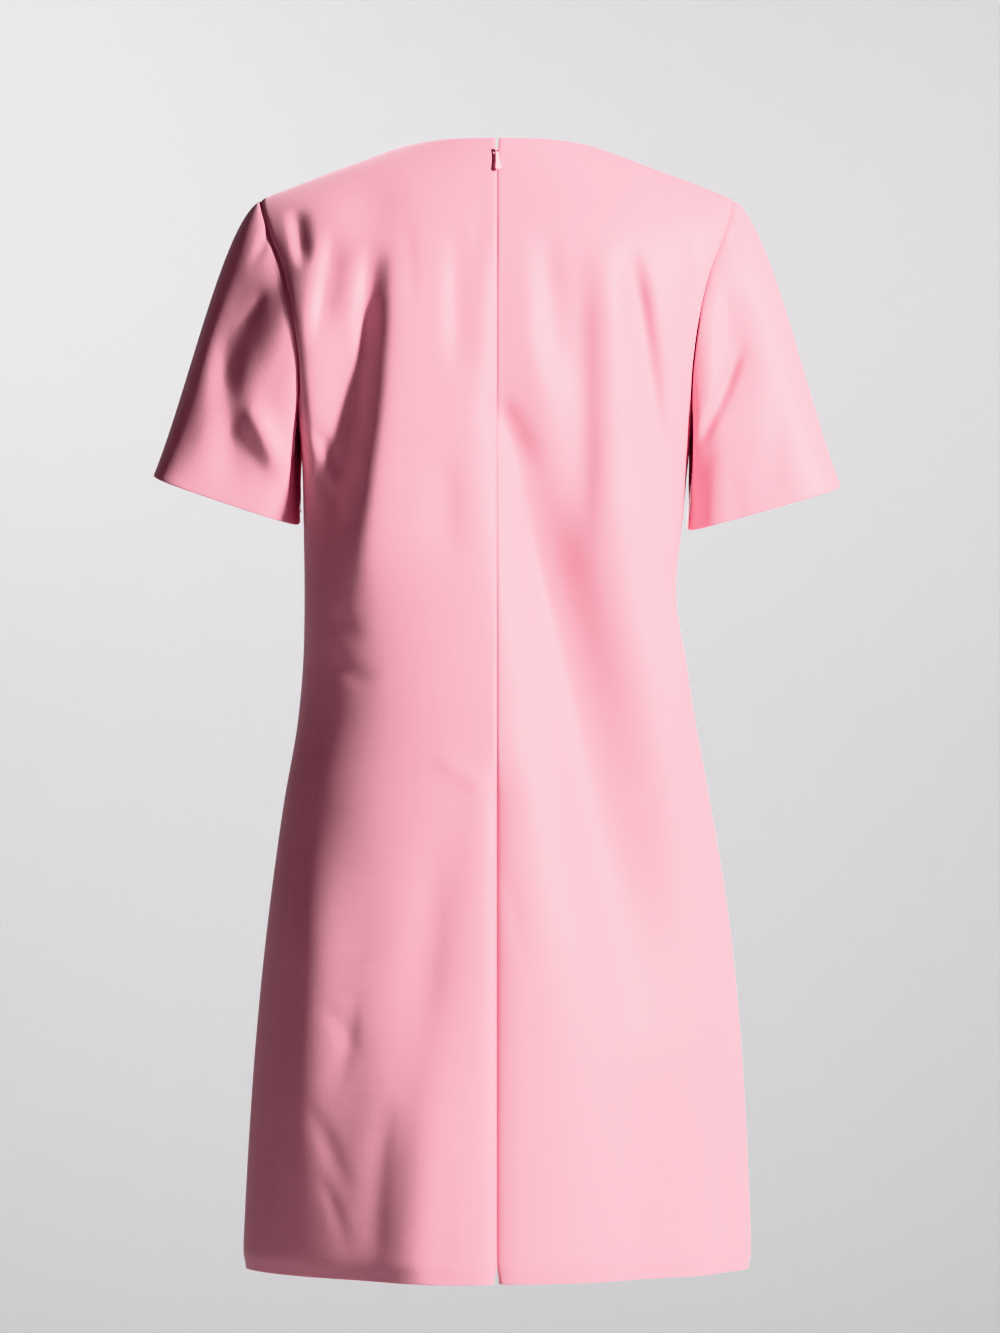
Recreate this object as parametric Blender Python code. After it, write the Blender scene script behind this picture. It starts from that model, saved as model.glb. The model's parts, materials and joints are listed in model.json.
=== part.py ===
"""A short-sleeved shift dress with a plain round neck and a zip in the centre-back seam.

It is modelled the way it is cut and sewn: one front, two backs, two set-in sleeves and the
zip, each a closed wall of cloth or a hard piece of its own, 0.3 mm apart at the seams.

Metres, +Z up. The origin is midway between the two high shoulder points, where the neckline
meets the shoulder seams. The back of the dress faces -Y, and the wearer's right is +X.
"""

import math

import bmesh
import bpy
import numpy as np
from mathutils import Matrix

# ---------------------------------------------------------------- driving dimensions
WALL = 0.0015  # thickness of the cloth, with its turnings
SEAM_GAP = 0.0003  # room left between two sewn pieces
DRESS_LENGTH = 0.945  # high shoulder point to hem, at the side
HEM_RISE = 0.003  # how much the hem lifts at the centre back and centre front
UNDERARM = -0.2325  # height of the underarm point
NECK_LIFT = 0.0022  # rise of the back neckline from the centre to the shoulder seam
NECK_LIFT_REACH = 0.6  # share of the neck's half width over which it rises
FRONT_NECK_DROP = 0.078  # depth of the round front neck at the centre
FRONT_NECK_POWER = 1.15  # above 1 draws the front neck in towards a V

# The top of the shoulders: a ridge that falls away from the neck on both sides.
RIDGE_PEAK = 0.0368
RIDGE_ROUND = 0.010
SHOULDER_SLOPE = 0.37
NECK_HALF_WIDTH = 0.0895

# Height over which the cloth rolls over the shoulders: at the centre, and its growth per
# metre out towards the shoulder points. Roll_fullness is how soon it reaches full depth.
ROLL_AT_CENTRE = 0.027
ROLL_GROWTH = 0.42
ROLL_FULLNESS = 2.4
ROLL_UNIT = 0.060  # drop from the ridge over which the roll parameter turns even

# The body's cross-sections, from the shoulders down to the hem. Left and right are the half
# widths, back and front the depths from the line of the side seams, and the powers give the
# squareness of the section (2 is an ellipse): the left back stands out squarely under the arm,
# and both sides of the skirt fall away from the centre seam.
SECTION_COLUMNS = (
    "height", "left", "right", "back", "front",
    "front_power", "left_back_power", "right_back_power",
)
SECTIONS = (
    (0.050, 0.2340, 0.2340, 0.048, 0.042, 2.4, 2.4, 2.4),
    (0.000, 0.2320, 0.2320, 0.069, 0.058, 2.4, 2.4, 2.4),
    (-0.040, 0.2275, 0.2275, 0.084, 0.070, 2.4, 2.4, 2.4),
    (-0.075, 0.2130, 0.2130, 0.097, 0.083, 2.4, 2.5, 2.4),
    (-0.110, 0.1965, 0.1965, 0.105, 0.098, 2.4, 3.0, 2.4),
    (-0.150, 0.1840, 0.1835, 0.110, 0.114, 2.4, 4.5, 2.4),
    (-0.190, 0.1745, 0.1740, 0.111, 0.126, 2.4, 5.0, 2.4),
    (-0.225, 0.1685, 0.1675, 0.111, 0.132, 2.4, 5.2, 2.4),
    (-0.260, 0.1645, 0.1625, 0.110, 0.134, 2.4, 5.0, 2.4),
    (-0.310, 0.1636, 0.1573, 0.109, 0.132, 2.4, 4.0, 2.6),
    (-0.380, 0.1632, 0.1515, 0.108, 0.129, 2.4, 2.5, 2.8),
    (-0.430, 0.1645, 0.1595, 0.108, 0.129, 2.5, 2.1, 2.8),
    (-0.480, 0.1690, 0.1675, 0.110, 0.131, 2.6, 1.9, 2.6),
    (-0.550, 0.1810, 0.1805, 0.114, 0.135, 2.7, 1.8, 2.3),
    (-0.640, 0.1935, 0.1955, 0.121, 0.140, 2.8, 1.7, 2.0),
    (-0.750, 0.2050, 0.2070, 0.129, 0.145, 2.8, 1.6, 1.75),
    (-0.850, 0.2120, 0.2130, 0.136, 0.149, 2.8, 1.55, 1.65),
    (-0.950, 0.2170, 0.2170, 0.142, 0.151, 2.8, 1.5, 1.6),
)

# The armhole seam from the shoulder point to the underarm: its height, and how far out it lies
# behind and in front, as a share of the body's half width there.
ARMHOLE_COLUMNS = ("height", "back_share", "front_share")
ARMHOLE = (
    (-0.038, 0.876, 0.876),
    (-0.056, 0.886, 0.890),
    (-0.080, 0.898, 0.904),
    (-0.110, 0.906, 0.914),
    (-0.140, 0.916, 0.924),
    (-0.170, 0.930, 0.937),
    (-0.195, 0.946, 0.952),
    (-0.215, 0.967, 0.971),
    (-0.228, 0.990, 0.991),
    (UNDERARM, 1.0, 1.0),
)

# The largest folds, as troughs (or ridges, where the depth is negative) that run from a start
# to an end, seen from behind for the back and from in front for the front. Bow moves the
# middle sideways. Width and end_width are half widths. Lean above 0 makes the +X side
# steeper. Fade_in and fade_out are the shares of the length over which a fold comes and goes.
FOLD_COLUMNS = (
    "start_x", "start_z", "end_x", "end_z", "bow",
    "width", "end_width", "depth", "lean", "fade_in", "fade_out",
)
BACK_FOLDS = (
    # down the left back, from the shoulder and the armhole to the waist
    (-0.1020, -0.020, -0.1080, -0.140, 0.000, 0.028, 0.026, 0.0055, 0.00, 0.35, 0.40),
    (-0.0980, -0.075, -0.1600, -0.410, 0.004, 0.024, 0.034, 0.0290, 0.30, 0.50, 0.36),
    (-0.1030, -0.085, -0.1140, -0.200, 0.000, 0.011, 0.010, 0.0070, -0.35, 0.40, 0.45),
    (-0.1330, -0.070, -0.1490, -0.185, 0.000, 0.012, 0.011, 0.0075, -0.35, 0.35, 0.40),
    (-0.1700, -0.050, -0.1590, -0.115, 0.000, 0.008, 0.007, 0.0040, -0.20, 0.35, 0.40),
    # either side of the top of the zip
    (-0.0330, -0.070, -0.0310, -0.215, 0.000, 0.013, 0.014, 0.0046, -0.25, 0.40, 0.40),
    (0.0390, -0.070, 0.0480, -0.225, 0.000, 0.014, 0.014, 0.0070, 0.00, 0.40, 0.40),
    # the right shoulder blade and armhole
    (0.0650, -0.070, 0.0720, -0.360, 0.000, 0.020, 0.018, 0.0120, 0.15, 0.35, 0.35),
    (0.1080, -0.085, 0.1440, -0.370, 0.004, 0.010, 0.018, 0.0110, 0.20, 0.20, 0.65),
    (0.1620, -0.070, 0.1640, -0.150, 0.002, 0.009, 0.009, 0.0035, 0.00, 0.35, 0.50),
    # the long drag line from the zip to the right hip, and the calm place below it
    (-0.0040, -0.172, 0.1320, -0.780, 0.003, 0.023, 0.058, 0.0340, -0.20, 0.32, 0.34),
    (0.0950, -0.560, 0.1250, -0.960, 0.004, 0.042, 0.046, 0.0100, -0.30, 0.45, 0.02),
    # the left of the skirt
    (-0.0200, -0.480, -0.1100, -0.960, 0.004, 0.020, 0.026, 0.0030, 0.10, 0.30, 0.02),
    (-0.1500, -0.560, -0.1720, -0.960, 0.000, 0.030, 0.032, -0.0070, 0.00, 0.30, 0.45),
    (-0.0600, -0.680, -0.0660, -0.960, 0.000, 0.046, 0.050, -0.0110, 0.10, 0.60, 0.02),
)
FRONT_FOLDS = (
    (-0.120, -0.110, -0.146, -0.235, 0.004, 0.010, 0.012, 0.0050, 0.20, 0.30, 0.50),
    (0.118, -0.105, 0.145, -0.225, -0.004, 0.010, 0.012, 0.0050, -0.20, 0.30, 0.50),
    (-0.088, -0.300, -0.118, -0.960, -0.004, 0.022, 0.040, 0.0070, 0.10, 0.50, 0.02),
    (0.094, -0.330, 0.124, -0.960, 0.004, 0.022, 0.038, 0.0062, -0.10, 0.50, 0.02),
    (-0.012, -0.520, -0.022, -0.960, 0.000, 0.026, 0.042, 0.0045, 0.00, 0.60, 0.02),
)
# The sleeves' folds, for the half of each sleeve behind and in front.
SLEEVE_FOLDS = {
    "left": {
        "back": (
            (-0.2120, -0.070, -0.2140, -0.260, 0.000, 0.026, 0.028, 0.0055, -0.10, 0.40, 0.50),
            (-0.2280, -0.130, -0.2220, -0.300, 0.000, 0.012, 0.015, 0.0045, 0.00, 0.45, 0.25),
            (-0.2090, -0.215, -0.1720, -0.290, 0.000, 0.011, 0.012, -0.0070, 0.00, 0.35, 0.40),
        ),
        "front": (
            (0.1820, -0.090, 0.1680, -0.330, -0.002, 0.012, 0.010, 0.0080, 0.20, 0.30, 0.15),
            (0.2200, -0.120, 0.2080, -0.300, 0.004, 0.014, 0.014, 0.0050, 0.00, 0.40, 0.20),
        ),
    },
    "right": {
        "back": (
            (0.1760, -0.235, 0.1640, -0.330, 0.000, 0.010, 0.010, 0.0050, 0.00, 0.40, 0.10),
            (0.2080, -0.160, 0.1640, -0.262, 0.002, 0.006, 0.006, 0.0060, 0.00, 0.35, 0.30),
            (0.1960, -0.100, 0.1900, -0.250, 0.000, 0.018, 0.018, 0.0070, -0.45, 0.35, 0.45),
        ),
        "front": (
            (-0.1880, -0.090, -0.1720, -0.320, 0.002, 0.010, 0.010, 0.0060, -0.20, 0.30, 0.15),
            (-0.2150, -0.120, -0.2000, -0.300, -0.004, 0.014, 0.014, 0.0045, 0.00, 0.40, 0.20),
        ),
    },
}
SLEEVE_CALM = 0.06  # share of the sleeve's length over which folds fade to the armhole
SLEEVE_FACING = 0.35  # how far a sleeve's normal must turn to the back or front to be folded
CALM_BY_SEAM = 0.45  # cosine of the section angle below which folds fade to the side seam
CALM_BY_SHOULDER = 0.7  # roll below which folds fade to the shoulder seam

# The sleeves: each cuff is an oval seen edge on from behind, between an outer and an inner
# point. Tilt lowers its back edge and lifts its front edge.
SLEEVES = {
    "left": {"side": -1, "outer": (-0.2907, -0.2712), "inner": (-0.1675, -0.3125)},
    "right": {"side": 1, "outer": (0.2907, -0.2797), "inner": (0.1615, -0.3165)},
}
CUFF_HALF_DEPTH = 0.047
CUFF_TILT = 0.008
CUFF_POWER = 0.64  # below 1 makes the cuff's oval squarer
CAP_LIFT = 0.78  # how far the cap carries on along the shoulder before it turns down
CAP_SPREAD = 0.16  # how far the cap swells behind and in front
# The sleeve stands off the armhole by these many seam gaps, more at the underarm, where it
# lies side by side with the body.
STAND_OFF = 2.8
STAND_OFF_GROWTH = 0.8

# The zip, sunk in the centre-back seam.
ZIP_TAPE_WIDTH = 0.011
ZIP_TAPE_THICKNESS = 0.0008
ZIP_TAPE_GAP = 0.0025  # room for the fold of the cloth at the seam
ZIP_END = -0.530
ZIP_TAPE_END = 0.001  # the tape stops this far below the notch
ZIP_HEIGHT = -0.0115  # height of the pull tab's pivot
NOTCH_TOP = 0.0022  # half width of the opening above the slider, at the neckline
NOTCH_AT_SLIDER = 0.0012
NOTCH_START = -0.0185
NOTCH_SLIDER = -0.0140

# The grid of each panel. The row from the underarm meets the centre line at row_meets, and
# the rows above it are even up to below_notch on the back.
ROW_MEETS = -0.215
BELOW_NOTCH = -0.040
ARMHOLE_ARM = 0.11  # metres for each radian of section angle, to space points round an armhole
ROWS_BELOW_ARM = 21
ROWS_ARMHOLE = 11
NECK_COLUMNS = {"back": 10, "front": 7}
SHOULDER_COLUMNS = {"back": 10, "front": 7}
SLEEVE_ROWS = 11
SLEEVE_ROWS_POWER = 1.4  # above 1 draws the sleeve's rings together by the armhole

CLOTH_COLOUR = (0.93, 0.52, 0.61, 1.0)
TAPE_COLOUR = (0.88, 0.50, 0.58, 1.0)
PULL_COLOUR = (0.95, 0.72, 0.77, 1.0)


# ---------------------------------------------------------------- tables and curves
def column(rows, names, name):
    """One named column of a table, as an array."""
    return np.array([row[names.index(name)] for row in rows])


def read_smooth(knots, values, at):
    """A smooth curve through the given knots: cubic pieces with the slopes matched."""
    slopes = np.gradient(values, knots)
    at = np.clip(at, knots[0], knots[-1])
    piece = np.clip(np.searchsorted(knots, at, side="right") - 1, 0, len(knots) - 2)
    span = knots[piece + 1] - knots[piece]
    t = (at - knots[piece]) / span
    return (
        values[piece] * (2 * t**3 - 3 * t**2 + 1)
        + slopes[piece] * span * (t**3 - 2 * t**2 + t)
        + values[piece + 1] * (3 * t**2 - 2 * t**3)
        + slopes[piece + 1] * span * (t**3 - t**2)
    )


def section(name, height):
    """A column of the section table, read at any height."""
    rows = SECTIONS[::-1]
    heights = column(rows, SECTION_COLUMNS, "height")
    return read_smooth(heights, column(rows, SECTION_COLUMNS, name), height)


def smooth_step(start, end, value):
    t = np.clip((value - start) / (end - start), 0.0, 1.0)
    return t * t * (3 - 2 * t)


# ---------------------------------------------------------------- the body's surface
def ridge(x):
    """Height of the line along the top of the shoulders."""
    return RIDGE_PEAK - np.sqrt(RIDGE_ROUND**2 + (SHOULDER_SLOPE * x) ** 2)


def drop_from_roll(roll):
    """Depth below the ridge: it grows as the square of the roll at first, then evenly."""
    return ROLL_UNIT * roll**2 / (np.sqrt(1 + roll**2) + 1)


def roll_from_drop(drop):
    """The inverse of drop_from_roll."""
    share = drop / ROLL_UNIT
    return np.sqrt(share * (share + 2))


def roll_over(roll, x):
    """Share of the full depth that the cloth has reached on its way over the shoulder.

    It starts as the square root of the drop, so the cloth lies level on the ridge, and
    ends at 1. Its sign follows the roll, so the surface goes on smoothly past the ridge.
    """
    size = ROLL_AT_CENTRE + ROLL_GROWTH * np.abs(x)
    return np.sign(roll) * np.sqrt(-np.expm1(-ROLL_FULLNESS * drop_from_roll(roll) / size))


def half_width(height, side):
    """The body's half width at a height, on the side where side is -1 or 1."""
    return np.where(side < 0, section("left", height), section("right", height))


def section_share(angle, power):
    """How far across and how far out a point of the section lies, as shares of 1."""
    across = np.sin(angle)
    out = np.cos(angle)
    size = (np.abs(across) ** power + np.abs(out) ** power) ** (-1 / power)
    return across * size, out * size


def squareness(height, side, face):
    """The power of the section at a height: the left back has its own."""
    if face == "front":
        return section("front_power", height)
    return section("left_back_power" if side < 0 else "right_back_power", height)


def angle_at(x, height, side, face):
    """The section angle of a point seen at x from straight behind or in front."""
    power = squareness(height, side, face)
    share = np.clip(np.abs(x) / half_width(height, side), 0.0, 0.999999) ** power
    return np.arctan((share / (1 - share)) ** (1 / power))


def place(angle, roll, side, face):
    """A point of the smooth body: x across, y behind or in front, z from the roll.

    The height depends on x through the ridge, and x on the height through the section, so
    the two are settled together in a few rounds.
    """
    drop = drop_from_roll(roll)
    height = -drop
    for _ in range(8):
        across, out = section_share(angle, squareness(height, side, face))
        x = side * half_width(height, side) * across
        height = ridge(x) - drop
    towards = -1 if face == "back" else 1
    y = towards * section(face, height) * out * roll_over(roll, x)
    return np.stack([x, y, height], axis=-1)


def fold_depth(rows, x, height):
    """How far the folds sink below the smooth body at points seen from straight behind."""
    total = np.zeros_like(x)
    for row in rows:
        fold = dict(zip(FOLD_COLUMNS, row))
        run = np.array([fold["end_x"] - fold["start_x"], fold["end_z"] - fold["start_z"]])
        length = np.linalg.norm(run)
        run = run / length
        from_x = x - fold["start_x"]
        from_z = height - fold["start_z"]
        share = (from_x * run[0] + from_z * run[1]) / length
        # the side is positive towards +X, because every fold runs downwards
        off = -from_x * run[1] + from_z * run[0]
        off = off - fold["bow"] * np.sin(math.pi * np.clip(share, 0, 1))
        width = fold["width"] + (fold["end_width"] - fold["width"]) * np.clip(share, 0, 1)
        width = width * np.where(off > 0, 1 - fold["lean"], 1 + fold["lean"])
        come = smooth_step(0.0, fold["fade_in"], share)
        go = 1 - smooth_step(1 - fold["fade_out"], 1.0, share)
        total += fold["depth"] * np.exp(-((off / width) ** 2)) * come * go
    return total


def body(angle, roll, side, face):
    """The body with its folds: the smooth body, pushed straight in from behind or in front."""
    points = place(angle, roll, side, face)
    rows = BACK_FOLDS if face == "back" else FRONT_FOLDS
    # no fold reaches the side seam or the top of the shoulder
    calm = smooth_step(0.0, CALM_BY_SEAM, np.cos(angle)) * smooth_step(0.0, CALM_BY_SHOULDER, roll)
    depth = fold_depth(rows, points[..., 0], points[..., 2]) * calm
    points[..., 1] += depth if face == "back" else -depth
    return points


def body_normals(angle, roll, side, face):
    """Unit outward normals of the body, from small steps of its two parameters."""
    step = 1e-4
    outward = -side if face == "back" else side
    along = body(angle + step, roll, side, face) - body(angle - step, roll, side, face)
    down = body(angle, roll + step, side, face) - body(angle, roll - step, side, face)
    normal = np.cross(along, down) * outward
    return normal / np.linalg.norm(normal, axis=-1, keepdims=True)


# ---------------------------------------------------------------- the edges of a panel
def notch(height):
    """Half width of the opening at the top of the centre-back seam."""
    heights = np.array([-1.0, NOTCH_START, NOTCH_SLIDER, 0.0])
    return np.interp(height, heights, [0.0, 0.0, NOTCH_AT_SLIDER, NOTCH_TOP])


def centre_edge(face, side):
    """Angle and roll down the centre line, from the hem up to the neckline."""
    top = 0.0 if face == "back" else -FRONT_NECK_DROP
    hem = -DRESS_LENGTH + HEM_RISE
    lower = np.linspace(hem, ROW_MEETS, ROWS_BELOW_ARM + 1)[:-1]
    if face == "back":
        upper = np.linspace(ROW_MEETS, BELOW_NOTCH, ROWS_ARMHOLE - 2)
        height = np.concatenate([lower, upper, [NOTCH_START, NOTCH_SLIDER, top]])
        x = SEAM_GAP / 2 + notch(height)
    else:
        upper = np.linspace(ROW_MEETS, top, ROWS_ARMHOLE + 1)
        height = np.concatenate([lower, upper])
        x = np.zeros_like(height)
    return angle_at(x, height, side, face), roll_from_drop(ridge(x) - height)


def armhole_edge(face, side):
    """Angle and roll along the armhole, from the underarm up to the shoulder point."""
    rows = ARMHOLE[::-1]
    height = column(rows, ARMHOLE_COLUMNS, "height")
    out_at = column(rows, ARMHOLE_COLUMNS, face + "_share") * half_width(height, side)
    angle = angle_at(out_at, height, side, face)
    angle[0] = math.pi / 2
    steps = np.hypot(np.diff(height), np.diff(angle) * ARMHOLE_ARM)
    along = np.concatenate([[0.0], np.cumsum(steps)])
    even = np.linspace(0.0, along[-1], ROWS_ARMHOLE + 1)
    height = read_smooth(along, height, even)
    angle = read_smooth(along, angle, even)
    across, _ = section_share(angle, squareness(height, side, face))
    x = half_width(height, side) * across
    roll = roll_from_drop(np.maximum(ridge(x) - height, 0.0))
    angle[0] = side_seam_angle(face, height[:1])[0]
    roll[-1] = shoulder_seam_roll(face)
    return angle, roll


def side_seam_angle(face, height):
    return math.pi / 2 - SEAM_GAP / 2 / section(face, height)


def shoulder_seam_roll(face):
    """The roll at the shoulder seam, half a seam gap back from the ridge."""
    return SEAM_GAP / 2 / section(face, np.array([0.0]))[0]


def side_edge(face, side):
    """Angle and roll up the side seam and then round the armhole."""
    arm_angle, arm_roll = armhole_edge(face, side)
    height = np.linspace(-DRESS_LENGTH, UNDERARM, ROWS_BELOW_ARM + 1)[:-1]
    x = half_width(height, side)
    roll = roll_from_drop(ridge(x) - height)
    angle = side_seam_angle(face, height)
    return np.concatenate([angle, arm_angle]), np.concatenate([roll, arm_roll])


def top_edge(face, side, first_x, last_angle):
    """Angle and roll along the neckline and then out along the shoulder seam."""
    turn = np.linspace(0.0, math.pi / 2, NECK_COLUMNS[face] + 1)
    x = first_x + (NECK_HALF_WIDTH - first_x) * np.sin(turn)
    if face == "back":
        height = NECK_LIFT * smooth_step(0.0, NECK_LIFT_REACH, x / NECK_HALF_WIDTH)
    else:
        drop = (FRONT_NECK_DROP + NECK_LIFT) * np.cos(turn) ** FRONT_NECK_POWER
        height = NECK_LIFT - drop
    roll = roll_from_drop(np.maximum(ridge(x) - height, 0.0))
    angle = angle_at(x, height, side, face)
    seam = shoulder_seam_roll(face)
    roll[-1] = seam
    out = np.linspace(0.0, 1.0, SHOULDER_COLUMNS[face] + 1)[1:]
    shoulder = angle[-1] + (last_angle - angle[-1]) * out
    return np.concatenate([angle, shoulder]), np.concatenate([roll, np.full(len(out), seam)])


def hem_edge(face, side, columns, first_angle):
    """Angle and roll round the hem, from the centre out to the side seam."""
    share = np.linspace(0.0, 1.0, columns)
    end = side_seam_angle(face, np.array([-DRESS_LENGTH]))[0]
    angle = first_angle + (end - first_angle) * share
    height = -DRESS_LENGTH + HEM_RISE * np.cos(angle) ** 2
    across, _ = section_share(angle, squareness(height, side, face))
    x = half_width(height, side) * across
    return angle, roll_from_drop(ridge(x) - height)


def blend_edges(hem, top, centre, side):
    """A grid of values between four edges that meet at their corners."""
    s = np.linspace(0.0, 1.0, len(hem))[None, :]
    t = np.linspace(0.0, 1.0, len(centre))[:, None]
    across = (1 - s) * centre[:, None] + s * side[:, None]
    up = (1 - t) * hem[None, :] + t * top[None, :]
    corners = (
        (1 - s) * (1 - t) * hem[0]
        + s * (1 - t) * hem[-1]
        + (1 - s) * t * top[0]
        + s * t * top[-1]
    )
    return across + up - corners


def panel_parameters(face, side):
    """The angle and roll of every grid point of half a front or back."""
    centre_angle, centre_roll = centre_edge(face, side)
    side_angle, side_roll = side_edge(face, side)
    first_x = SEAM_GAP / 2 + NOTCH_TOP if face == "back" else 0.0
    top_angle, top_roll = top_edge(face, side, first_x, side_angle[-1])
    hem_angle, hem_roll = hem_edge(face, side, len(top_angle), centre_angle[0])
    centre_angle[-1] = top_angle[0]
    centre_roll[-1] = top_roll[0]
    centre_roll[0] = hem_roll[0]
    side_roll[0] = hem_roll[-1]
    angle = blend_edges(hem_angle, top_angle, centre_angle, side_angle)
    roll = blend_edges(hem_roll, top_roll, centre_roll, side_roll)
    return angle, roll


def panel(face, side):
    """Outer points and outward normals of half a front or back, row by row from the hem."""
    angle, roll = panel_parameters(face, side)
    return body(angle, roll, side, face), body_normals(angle, roll, side, face)


# ---------------------------------------------------------------- sleeves
def armhole_loop(side):
    """The armhole as a loop: shoulder point, down the back, underarm, up the front."""
    back, _ = panel("back", side)
    front, _ = panel("front", side)
    down_back = back[ROWS_BELOW_ARM:, -1][::-1]
    up_front = front[ROWS_BELOW_ARM:, -1]
    middle = (down_back[-1] + up_front[0]) / 2
    top = (down_back[0] + up_front[-1]) / 2
    return np.vstack([[top], down_back[1:-1], [middle], up_front[1:-1]])


def squared(share):
    """Makes an oval squarer: the share of its width or depth to a power below 1."""
    return np.sign(share) * np.abs(share) ** CUFF_POWER


def sleeve_lines(name):
    """Start, end and end slopes of the lines that run down a sleeve, one for each point."""
    sleeve = SLEEVES[name]
    side = sleeve["side"]
    loop = armhole_loop(side)
    turn = np.linspace(0.0, 2 * math.pi, len(loop), endpoint=False)[:, None]
    outer = np.array([sleeve["outer"][0], 0.0, sleeve["outer"][1]])
    inner = np.array([sleeve["inner"][0], 0.0, sleeve["inner"][1]])
    centre = (outer + inner) / 2
    towards_outer = (outer - inner) / 2
    behind = np.array([0.0, -CUFF_HALF_DEPTH, -CUFF_TILT])
    cuff = centre + towards_outer * squared(np.cos(turn)) + behind * squared(np.sin(turn))
    apart = SEAM_GAP * (STAND_OFF + STAND_OFF_GROWTH * (1 - np.cos(turn)))
    start = loop + apart * np.array([side, 0.0, 0.0])
    run = cuff - start
    length = np.linalg.norm(run, axis=1, keepdims=True)
    cap = ((1 + np.cos(turn)) / 2) ** 2
    lift = np.array([0.0, 0.0, CAP_LIFT])
    swell = np.array([0.0, -CAP_SPREAD, 0.0])
    start_slope = run + length * (lift * cap + swell * np.sin(turn))
    end_slope = run
    return start, cuff, start_slope, end_slope


def tube_normals(points, side):
    """Unit normals of the rings of a tube, from the differences of its points."""
    around = np.roll(points, -1, axis=1) - np.roll(points, 1, axis=1)
    down = np.gradient(points, axis=0)
    normal = np.cross(around, down) * side
    return normal / np.linalg.norm(normal, axis=-1, keepdims=True)


def sleeve(name):
    """Outer points and outward normals of a sleeve, ring by ring from the armhole down.

    Each line is a cubic of its share t. The folds then push it straight in.
    """
    start, cuff, start_slope, end_slope = sleeve_lines(name)
    side = SLEEVES[name]["side"]
    share = np.linspace(0.0, 1.0, SLEEVE_ROWS + 1) ** SLEEVE_ROWS_POWER
    t = share[:, None, None]
    points = (
        start * (2 * t**3 - 3 * t**2 + 1)
        + start_slope * (t**3 - 2 * t**2 + t)
        + cuff * (3 * t**2 - 2 * t**3)
        + end_slope * (t**3 - t**2)
    )
    normal = tube_normals(points, side)
    x, height = points[..., 0], points[..., 2]
    folds = SLEEVE_FOLDS[name]
    behind = smooth_step(0.0, SLEEVE_FACING, -normal[..., 1])
    before = smooth_step(0.0, SLEEVE_FACING, normal[..., 1])
    depth = fold_depth(folds["back"], x, height) * behind
    depth += fold_depth(folds["front"], -x, height) * before
    depth *= smooth_step(0.0, SLEEVE_CALM, share)[:, None]
    points[..., 1] -= np.sign(normal[..., 1]) * depth
    return points, tube_normals(points, side)


# ---------------------------------------------------------------- meshes
SHARP_EDGE = math.radians(40)


def material(name, colour, roughness, metallic=0.0):
    made = bpy.data.materials.new(name)
    made.use_nodes = True
    shader = made.node_tree.nodes["Principled BSDF"]
    shader.inputs["Base Color"].default_value = colour
    shader.inputs["Roughness"].default_value = roughness
    shader.inputs["Metallic"].default_value = metallic
    return made


def signed_volume(points, faces):
    """Volume inside a closed mesh of quads, negative where it is inside out."""
    corners = points[faces]
    first = np.cross(corners[:, 0], corners[:, 1])
    second = np.cross(corners[:, 0], corners[:, 2])
    volume = np.einsum("ij,ij->", first, corners[:, 2])
    return volume + np.einsum("ij,ij->", second, corners[:, 3])


def add_object(name, points, faces, finish):
    """An object from points and quads, turned the right way out and shaded smooth."""
    faces = np.asarray(faces)
    centred = points - points.mean(axis=0)
    if signed_volume(centred, faces) < 0:
        faces = faces[:, ::-1]
    mesh = bpy.data.meshes.new(name)
    mesh.from_pydata(points.tolist(), [], faces.tolist())
    mesh.shade_smooth()
    mesh.set_sharp_from_angle(angle=SHARP_EDGE)
    mesh.materials.append(finish)
    made = bpy.data.objects.new(name, mesh)
    bpy.context.collection.objects.link(made)
    return made


def quads(first, second):
    """Quads between two matching chains of point numbers."""
    return np.stack([first[:-1], first[1:], second[1:], second[:-1]], axis=-1)


def add_wall(name, outer, inner, finish, tube=False):
    """A wall of cloth between two matching grids of points, closed along its edges."""
    rows, columns = outer.shape[:2]
    number = np.arange(rows * columns).reshape(rows, columns)
    if tube:
        number = np.hstack([number, number[:, :1]])
    inside = number + rows * columns
    faces = [quads(number[i], number[i + 1]) for i in range(rows - 1)]
    faces += [quads(inside[i + 1], inside[i]) for i in range(rows - 1)]
    faces += [quads(inside[0], number[0]), quads(number[-1], inside[-1])]
    if not tube:
        faces += [quads(number[:, 0], inside[:, 0]), quads(inside[:, -1], number[:, -1])]
    points = np.vstack([outer.reshape(-1, 3), inner.reshape(-1, 3)])
    return add_object(name, points, np.vstack(faces), finish)


def make_back(name, side, cloth):
    points, normal = panel("back", side)
    add_wall(name, points, points - normal * WALL, cloth)


def make_front(cloth):
    """The front is cut in one: its two halves share the centre line."""
    left, left_normal = panel("front", -1)
    right, right_normal = panel("front", 1)
    points = np.concatenate([left[:, :0:-1], right], axis=1)
    normal = np.concatenate([left_normal[:, :0:-1], right_normal], axis=1)
    add_wall("front_panel", points, points - normal * WALL, cloth)


def make_sleeve(name, cloth):
    points, normal = sleeve(name)
    add_wall("sleeve_" + name, points, points - normal * WALL, cloth, tube=True)


def make_zip_tape(name, side, finish):
    """A narrow strip behind the back's inner face, made from that face's own points."""
    points, normal = panel("back", side)
    inside = points - normal * WALL
    height = points[:, 0, 2]
    rows = (height > ZIP_END) & (height < NOTCH_START - ZIP_TAPE_END)
    first = inside[rows, 0]
    second = inside[rows, 1]
    inward = -normal[rows, 0]
    share = ZIP_TAPE_WIDTH / np.linalg.norm(second - first, axis=-1, keepdims=True)
    edge = first + (second - first) * share
    outer = np.stack([first, edge], axis=1) + inward[:, None] * ZIP_TAPE_GAP
    inner = outer + inward[:, None] * ZIP_TAPE_THICKNESS
    add_wall(name, outer, inner, finish)


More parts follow.
